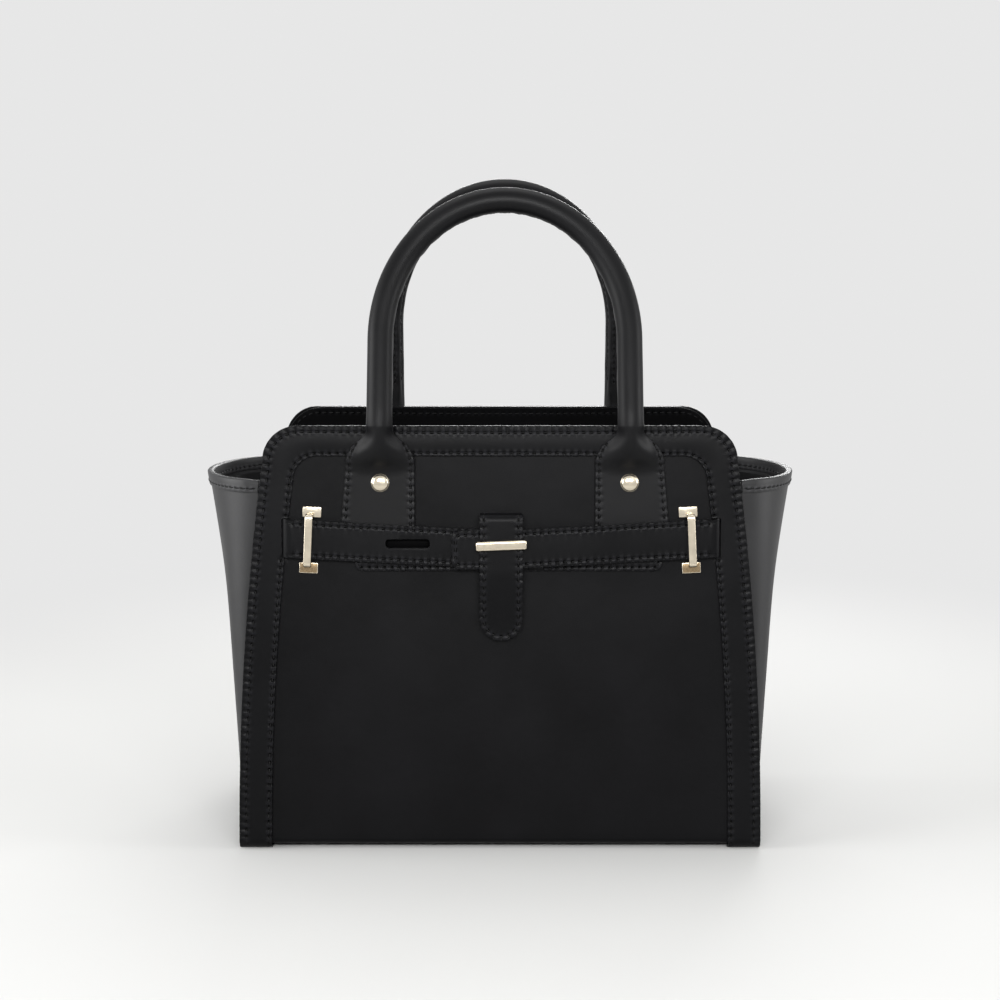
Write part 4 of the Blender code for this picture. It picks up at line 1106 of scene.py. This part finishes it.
def handle(word, rear):
    """One handle's leather: both tabs, the legs and the rolled grip, in one skin over the hinge."""
    lean, shift = (REAR_LEAN, -HANDLE_SHIFT) if rear else (FRONT_LEAN, HANDLE_SHIFT)
    turn = wall_turn(rear)
    left, right = shift - HANDLE_SPREAD / 2, shift + HANDLE_SPREAD / 2
    heights = out_of_corner(TAB_FOOT, TAB_CORNER, 12, 0.02)
    count = math.ceil((PIVOT_S - heights[-1]) / FINE)
    heights += spread(count, heights[-1], PIVOT_S - 0.0005)[1:]
    centres, ways, out = grip_line(lean, shift)
    seams = ([], [])
    rings = [tab_ring(left, s, 1) for s in heights]
    for number, (centre, way) in enumerate(zip(centres, ways)):
        near = min(number, len(centres) - 1 - number)
        wear = 0.003 * math.sin(number * 0.5) * math.sin(number * 0.23) * min(near / 8, 1)
        across, radius = way.cross(out), GRIP * (1 + wear)
        rings.append(grip_ring(centre, across, out, radius))
        if near > 1:
            for run, a in zip(seams, (SEAM_TURN + SEAM_HALF, SEAM_TURN - SEAM_HALF)):
                way_out = across * math.cos(a) + out * math.sin(a)
                run.append((turn(centre + way_out * (radius + PROUD)), turn(way_out), -turn(across)))
    rings += [tab_ring(right, s, -1) for s in reversed(heights)]
    made = loft(f"{word}_handle_leather", [[turn(p) for p in ring] for ring in rings], LIT_GRIP_CALF)
    tab_rows = [tab_row(left, 1, rear), tab_row(right, -1, rear)]
    seam_rows = [Row(*zip(*run)) for run in seams]
    pull_in(made, tab_rows + seam_rows)
    pivot = lay(0.0, PIVOT_S, PIVOT_OUT)
    up = Matrix.Rotation(-(lean + LEAN) / 2, 4, "X") @ Vector((0.0, 0.0, 1.0))
    hinge = f"{word}_handle", turn(pivot - BEND_BELOW * up), turn(pivot + BEND_ABOVE * up)
    settle_over(made, *hinge, f"{word}_handle_grip", f"{word}_left_tab", f"{word}_right_tab")
    settle(stitches(f"{word}_tab_thread", tab_rows), "bag")
    settle_over(stitches(f"{word}_handle_thread", seam_rows), *hinge)
    dress(f"{word}_handle_core", CORD)


handle("front", False)
handle("rear", True)


# Belt


def edge_shares():
    """Shares across a strap from edge to edge, closer together by its rows of stitches."""
    margin = spread(11, 0.56, 1.0)
    return [-t for t in reversed(margin)] + spread(4, -0.56, 0.56)[1:-1] + margin


def strap_face(side, x):
    """Height of a strap's face: the right one steps up on to the left one near the middle."""
    if side < 0:
        return LEFT_FACE
    return LEFT_FACE + (RIGHT_FACE - LEFT_FACE) * soft((STEP_FOOT - x) / (STEP_FOOT - STEP_TOP))


def strap_path(side):
    """The strap's face as (x, n) places: from inside its slit, out round its fold and on to the tip."""
    bend, (along, fall) = STRAP_FOLD_RADIUS, STRAP_ROUND
    turn, start = STRAP_FOLDS[side] - bend, STRAP_FOLDS[side] - along
    inner = -LAYER - STRAP
    path = [(turn - STRAP_INNER, inner)]
    path += [(turn + x, inner + bend + n) for x, n in arc(0.0, 0.0, bend, -math.pi / 2, 0.0, 8)]
    outer = arc(0.0, 0.0, 1.0, 0.0, math.pi / 2, 20)
    path += [(start + along * x, LEFT_FACE - fall + fall * n) for x, n in outer]
    straight = spread(math.ceil((start - TIP_START) / FINE), start - FINE, TIP_START)
    tip = [-STRAP_TIP + STRAP_TIP_RADIUS * (1 - math.sin(math.pi / 2 * t)) for t in spread(10)[1:]]
    return path + [(x, strap_face(side, x)) for x in straight] + [(x, strap_face(side, 0)) for x in tip]


def strap(name, side, slots):
    """One side of the belt, with its row of stitches out along one edge and back along the other."""
    rows = []
    for x, n in strap_path(side):
        half = cornered(STRAP_WIDTH / 2, STRAP_TIP_RADIUS, TIP_START - x)
        full = 0.00018 if n > 0 else 0.0
        middle = strap_line(side * x, side)
        rows.append([lay(side * x, middle + t * half, n + full * (1 - t * t)) for t in edge_shares()])
    half, corner, round_end = STRAP_WIDTH / 2 - STRAP_ROW, STRAP_TIP_RADIUS - STRAP_ROW, 0.0065
    straight = spread(90, STRAP_FOLDS[side] - STRAP_ROW_START, TIP_START)
    outline = [(x, strap_line(side * x, side) + half) for x in straight]
    for up, start in ((1, math.pi / 2), (-1, math.pi)):
        middle = BELT + up * (STRAP_WIDTH / 2 - STRAP_TIP_RADIUS)
        outline += arc(TIP_START, middle, corner, start, start + math.pi / 2, 5)
    outline += [(x, strap_line(side * x, side) - half) for x in reversed(straight)]
    places = [(side * x, s, strap_face(side, x) + PROUD) for x, s in outline]

    def inward(x, s):
        aside = s - strap_line(x, side)
        return (0.0, -math.copysign(1.0, aside)) if abs(aside) > round_end else (side, 0.0)

    return sheet(name, rows, STRAP, CALF, flip=side < 0, cutters=slots), [wall_row(places, inward)]


def slot_cutter(name, x, s):
    """A long block with rounded corners that cuts a slot."""
    along, up, quarter = SLOT_LENGTH / 2 - SLOT_CORNER, SLOT_HEIGHT / 2 - SLOT_CORNER, math.pi / 2
    place = wall_frame(x, s, 0.0)
    end = arc(along, -up, SLOT_CORNER, -quarter, 0.0, 6) + arc(along, up, SLOT_CORNER, 0.0, quarter, 6)
    outline = end + [(-u, -v) for u, v in end]
    return loft(name, [[place @ Vector((u, v, n)) for u, v in outline] for n in (0.0, 0.012)], CALF)


def patch(name, slots):
    """The leather patch behind the belt, whose stitched lower edge shows, and a dark piece on the floor of
    its slot that is painted shade.
    """
    heights = out_of_corner(PATCH_FOOT, PATCH_CORNER, 6, 0.04)
    heights += spread(22, heights[-1], PATCH_TOP - 0.0004)[1:]
    rows = []
    for s in heights:
        half = cornered(PATCH_HALF, PATCH_CORNER, PATCH_FOOT + PATCH_CORNER - s)
        rows.append([lay(PATCH_SHIFT + half * t, s, LAYER) for t in spread(280, -1.0, 1.0)])
    made = sheet(name, rows, LEATHER, CALF, cutters=slots)
    # A thin piece of the darker calf under the spare slot: painted shade for the depth of the slot
    size = (SLOT_LENGTH - 0.0002, SLOT_HEIGHT - 0.0002, 0.0006)
    slot_floor = block("slot_floor", size, wall_frame(SPARE_X, SPARE_S, 2 * GAP), SHADED_INNER_CALF, 0.0001, 2)
    corner, foot = PATCH_HALF - PATCH_CORNER, PATCH_FOOT + PATCH_CORNER
    right = arc(corner, foot, PATCH_CORNER - PATCH_ROW, 0.0, -math.pi / 2, 6)
    outline = [(PATCH_HALF - PATCH_ROW, PATCH_TOP - 0.003)] + right
    outline += [(x, PATCH_FOOT + PATCH_ROW) for x in spread(60, right[-1][0], 0.0)[1:]]
    places = [(PATCH_SHIFT + x, s, LAYER + PROUD) for x, s in both_sides(outline)]
    return joined(name, [made, slot_floor]), [wall_row(places, lambda x, s: (-x / 0.3, 1.0))]


def closing_out(s):
    """Height of the closing tab's face off the wall; it falls back below the belt."""
    foot = BELT - STRAP_WIDTH / 2
    return CLOSING_FACE - CLOSING_FALL * soft((foot - s) / (foot - TAB_TIP_S))


def closing(name):
    """The closing tab as one skin: sewn to the wall behind, folded over the belt, free in front."""
    half, middle = CLOSING_WIDTH / 2, GAP + CLOSING_RADIUS
    tip, quarter = TAB_TIP_S + half, math.pi / 2
    path = [(s, GAP, half) for s in spread(4, ANCHOR_S, CLOSING_CENTRE)]
    path += [(s, n, half) for s, n in arc(CLOSING_CENTRE, middle, CLOSING_RADIUS, -quarter, quarter, 24)[1:]]
    path += [(s, closing_out(s), half) for s in spread(90, CLOSING_CENTRE, tip)[1:]]
    for a in [quarter * min(t, 0.985) for t in spread(24)[1:]]:
        s = TAB_TIP_S + half * (1 - math.sin(a))
        path.append((s, closing_out(s), half * math.cos(a)))
    rows = []
    for s, n, wide in path:
        full = 0.0002 * soft((n - 0.004) / 0.003)
        rows.append([lay(LOCK_X + wide * t, s, n + full * (1 - t * t)) for t in edge_shares()])
    inset = half - STRAP_ROW
    over = arc(CLOSING_CENTRE, middle, CLOSING_RADIUS, math.pi * 0.12, quarter, 8)
    outline = [(inset, s, n) for s, n in over[:-1]]
    outline += [(inset, s, closing_out(s)) for s in spread(50, CLOSING_CENTRE - 0.001, tip)]
    outline += [(x, s, closing_out(s)) for x, s in arc(0.0, tip, inset, 0.0, -quarter, 14)[1:]]
    places = [(LOCK_X + x, s, n + PROUD) for x, s, n in both_sides(outline)]

    def inward(x, s):
        return (LOCK_X - x) / half, 0.8 * max(tip - s, 0.0) / half

    return sheet(name, rows, STRAP, CALF, flip=True), [wall_row(places, inward)]


middle_slot = slot_cutter("middle_slot", LOCK_X, LOCK_S)
spare_slot = slot_cutter("spare_slot", SPARE_X, SPARE_S)
sewn("left_belt_strap", strap("left_belt_strap", -1, [middle_slot, spare_slot]), "left_strap")
sewn("right_belt_strap", strap("right_belt_strap", 1, [middle_slot]), "right_strap")
sewn("belt_patch", patch("belt_patch", [spare_slot]), "lock_patch")

leaf, leaf_rows = closing("closing_leather")
pull_in(leaf, leaf_rows)
out_way = Vector((0.0, -math.cos(LEAN), math.sin(LEAN)))
down_way = Vector((0.0, -math.sin(LEAN), -math.cos(LEAN)))
fold_start = lay(LOCK_X, ANCHOR_S, 0.0024)
fold_end = fold_start + (out_way * 0.995 + down_way * 0.1).normalized() * 0.0040
settle_over(leaf, "closing_leaf", fold_start, fold_end, "closing_tab", "closing_anchor")
settle_over(stitches("closing_thread", leaf_rows), "closing_leaf", fold_start, fold_end)


# Fittings


def rivet(name, x, rear):
    """A polished domed cap with a fine turned step at its edge."""
    r = RIVET_RADIUS
    profile = [(0.0015, 0.0), (r * 0.97, 0.0), (r, 0.00015), (r, 0.00045)]
    profile += [(r * 0.975, 0.0006), (r * 0.95, 0.00062)]
    profile += [(r * 0.94 * math.sin(a), 0.00070 + 0.0023 * math.cos(a)) for a in spread(14, 1.5, 0.02)]
    seat = tab_face(0.0, RIVET_S) + GAP
    return turned(name, profile, wall_frame(x, RIVET_S, seat, rear=rear), GOLD)


def washer(name, x, rear):
    """The rivet's post and its rounded head inside the wall."""
    inside = -2 * LAYER - GAP
    top = tab_face(0.0, RIVET_S) + GAP + 0.0009 - inside
    profile = [(0.0001, top), (0.0014, top), (0.0015, top - 0.0001), (0.0015, 0.0), (0.0042, 0.0)]
    profile += [(0.0045, -0.0003), (0.0045, -0.0008), (0.0041, -0.0011), (0.0024, -0.0012), (0.0001, -0.0012)]
    return turned(name, profile, wall_frame(x, RIVET_S, inside, rear=rear), GOLD, 32)


def bridge(name, place):
    """A bent staple: a flat bar with softened edges, its two legs going down through the wall."""
    width, thick, bend, edge = 0.0044, 0.0020, 0.0026, 0.0006
    low, high = 2 * GAP + 0.0012, LEFT_FACE + 0.0018 + thick
    half = STAPLE_SPAN / 2 - thick / 2
    line = [(half, low)] + arc(half + thick / 2 - bend, high - bend, bend - thick / 2, 0.0, math.pi / 2, 8)
    line = both_sides(line + [(u, high - thick / 2) for u in spread(6, line[-1][0], 0.0)[1:]])
    section = []
    for number, (cx, cy) in enumerate(((1, 1), (-1, 1), (-1, -1), (1, -1))):
        start, end = number / 2 * math.pi, (number + 1) / 2 * math.pi
        section += arc(cx * (width / 2 - edge), cy * (thick / 2 - edge), edge, start, end, 4)
    rings = []
    for i, (u, v) in enumerate(line):
        before, after = line[max(i - 1, 0)], line[min(i + 1, len(line) - 1)]
        way = Vector((after[0] - before[0], after[1] - before[1])).normalized()
        rings.append([place @ Vector((p, u - way.y * q, v + way.x * q)) for p, q in section])
    legs = [place @ Matrix.Translation((0.0, up * half, 0.0)) for up in (1, -1)]
    return joined(name, [loft(name, rings, GOLD)] + [pin(leg, -LAYER - 0.001, low + 0.0015) for leg in legs])


def foot_plate(name, place, look):
    """A staple's foot plate: its face in the given look, and its bevelled rim in plain gilt, bright beside a
    face of gilt painted darker as shade.
    """
    plate = block(name, FOOT_PLATE, place, look, 0.00042, 3)
    for face in plate.data.polygons:
        if abs(face.normal.dot(place.to_3x3() @ Vector((0.0, 0.0, 1.0)))) < 0.98:
            face.material_index = 1
    plate.data.materials.append(GOLD)
    return plate


def closing_bar(name):
    """The bar on the closing tab, a little askew, with its two pins."""
    place = wall_frame(LOCK_X, LOCK_S, CLOSING_FACE + GAP + 0.0015, math.radians(2.2))
    low = CLOSING_FACE - STRAP - GAP - 0.001
    seats = [wall_frame(LOCK_X + way * 0.007, LOCK_S, 0.0) for way in (-1, 1)]
    bar = block(name, (0.029, 0.0055, 0.003), place, GOLD, 0.0013, 6)
    return joined(name, [bar] + [pin(seat, low, low + 0.004) for seat in seats])


for word, rear in (("front", False), ("rear", True)):
    shift = -HANDLE_SHIFT if rear else HANDLE_SHIFT
    for leg, way in (("left", -1), ("right", 1)):
        x = shift + (-way if rear else way) * HANDLE_SPREAD / 2
        settle(rivet(f"{word}_{leg}_stud", x, rear), "bag", f"{word}_{leg}_rivet_cap")
        settle(washer(f"{word}_{leg}_stud_post", x, rear), "bag", f"{word}_{leg}_rivet_post")

for word, side in (("left", -1), ("right", 1)):
    x = side * (edge_half(STAPLE_S) - STAPLE_INSET)
    place = wall_frame(x, STAPLE_S, 0.0, side * STAPLE_TILT)
    settle(bridge(f"{word}_bridge", place), "bag", f"{word}_staple_bar")
    # The lower foot plates take the gilt painted darker: painted shade and dark reflection under the bar
    for end, up, inward, look in (("upper", 1, 0.0011, GOLD), ("lower", -1, 0.0004, SHADED_GOLD)):
        seat = place @ Matrix.Translation((-side * inward, up * FOOT_SPAN / 2, GAP + 0.0006))
        settle(foot_plate(f"{word}_{end}_foot", seat, look), "bag", f"{word}_staple_{end}_plate")
    back = place @ Matrix.Translation((0.0, 0.0, -LAYER - 0.0005))
    strip = block(f"{word}_bridge_backing", (0.008, STAPLE_SPAN + 0.006, 0.001), back, STEEL, 0.0003, 2)
    settle(strip, "bag", f"{word}_staple_backing")

settle(closing_bar("closing_bar"), "closing_leaf", "lock_bar")
for name in ("lock_keeper", "magnet_lug", "lock_back_plate"):
    dress(name, STEEL)

for helper in SLITS + NOTCHES + [middle_slot, spare_slot, STITCH]:
    bpy.data.objects.remove(helper)


# Studio


def paper_look(name, colour):
    """A plain studio paper with a faint unevenness."""
    made, tree, shader, where = blank(name)
    value = noise(tree, where, 3.0, 3.0)
    height = reckon(tree, "MULTIPLY", value, 0.05)
    surface(tree, shader, height, shades(colour, 0.97, 1.0), value, value, (0.70, 0.78))
    return made


def area_light(name, place, size, power, aim=(0.0, 0.0, 0.15)):
    """A soft light of this size, turned to its aim."""
    lamp = bpy.data.lights.new(name, "AREA")
    lamp.shape, lamp.size, lamp.size_y, lamp.energy = "RECTANGLE", *size, power
    held = placed(name, lamp)
    held.location = place
    held.rotation_euler = (Vector(aim) - Vector(place)).to_track_quat("-Z", "Y").to_euler()
    held.visible_camera = False


def seen_directly(tree):
    """1 for what the camera, a reflection or a refraction sees, 0 for what only lights the object."""
    path = node(tree, "ShaderNodeLightPath").outputs
    direct = reckon(tree, "MAXIMUM", path["Is Camera Ray"], path["Is Transmission Ray"])
    return reckon(tree, "MAXIMUM", direct, path["Is Glossy Ray"])


def paper_floor():
    """A pale paper floor that fades into the background."""
    shape = bmesh.new()
    bmesh.ops.create_circle(shape, cap_ends=True, segments=96, radius=4.0)
    floor = placed("studio_floor", mesh_of("studio_floor", shape))
    paper = paper_look("studio_paper", (0.62, 0.62, 0.61))
    floor.data.materials.append(paper)
    tree = paper.node_tree
    glow = node(tree, "ShaderNodeEmission", {"Color": (*PALE, 1.0), "Strength": 1.0})
    where = node(tree, "ShaderNodeTexCoord").outputs["Object"]
    away = node(tree, "ShaderNodeVectorMath", {0: where}, operation="LENGTH").outputs["Value"]
    far = reckon(tree, "MULTIPLY", ramp(tree, away, 0.32, 0.95), seen_directly(tree))
    lit = tree.nodes["Principled BSDF"].outputs[0]
    mixed = node(tree, "ShaderNodeMixShader", {"Fac": far, 1: lit, 2: glow.outputs[0]})
    tree.links.new(mixed.outputs[0], tree.nodes["Material Output"].inputs["Surface"])


def plain_world():
    """A plain world, of the background's tone where it is seen."""
    world = bpy.data.worlds.new("studio")
    bpy.context.scene.world = world
    world.use_nodes = True
    tree = world.node_tree
    tone = between(tree, seen_directly(tree), LIT, PALE)
    tree.links.new(tone, tree.nodes["Background"].inputs["Color"])


def photo_camera():
    """The camera of the photograph."""
    lens = bpy.data.cameras.new("camera")
    lens.sensor_width, lens.lens, lens.clip_start = 36.0, 69.44, 0.01
    camera = placed("camera", lens)
    camera.location = (0.0, -1.150, 0.3527)
    camera.rotation_euler = (math.radians(90 - 7.92), 0.0, 0.0)
    bpy.context.scene.camera = camera


paper_floor()
plain_world()
area_light("key", (0.0, -1.0, 0.55), (0.80, 0.20), 9.5, (0.0, -0.06, 0.22))
area_light("fill", (0.9, -1.1, 1.0), (0.9, 0.9), 1.5)
area_light("left_edge", (-1.35, -0.25, 0.50), (1.1, 0.8), 17.0)
area_light("right_edge", (1.35, -0.15, 0.50), (0.45, 0.8), 8.0)
area_light("top", (0.0, 0.25, 1.5), (1.1, 0.8), 5.0)
area_light("rear", (0.15, 1.05, 0.60), (0.8, 0.2), 7.0, (0.0, 0.06, 0.22))
photo_camera()
bpy.context.scene.view_settings.view_transform = "Standard"
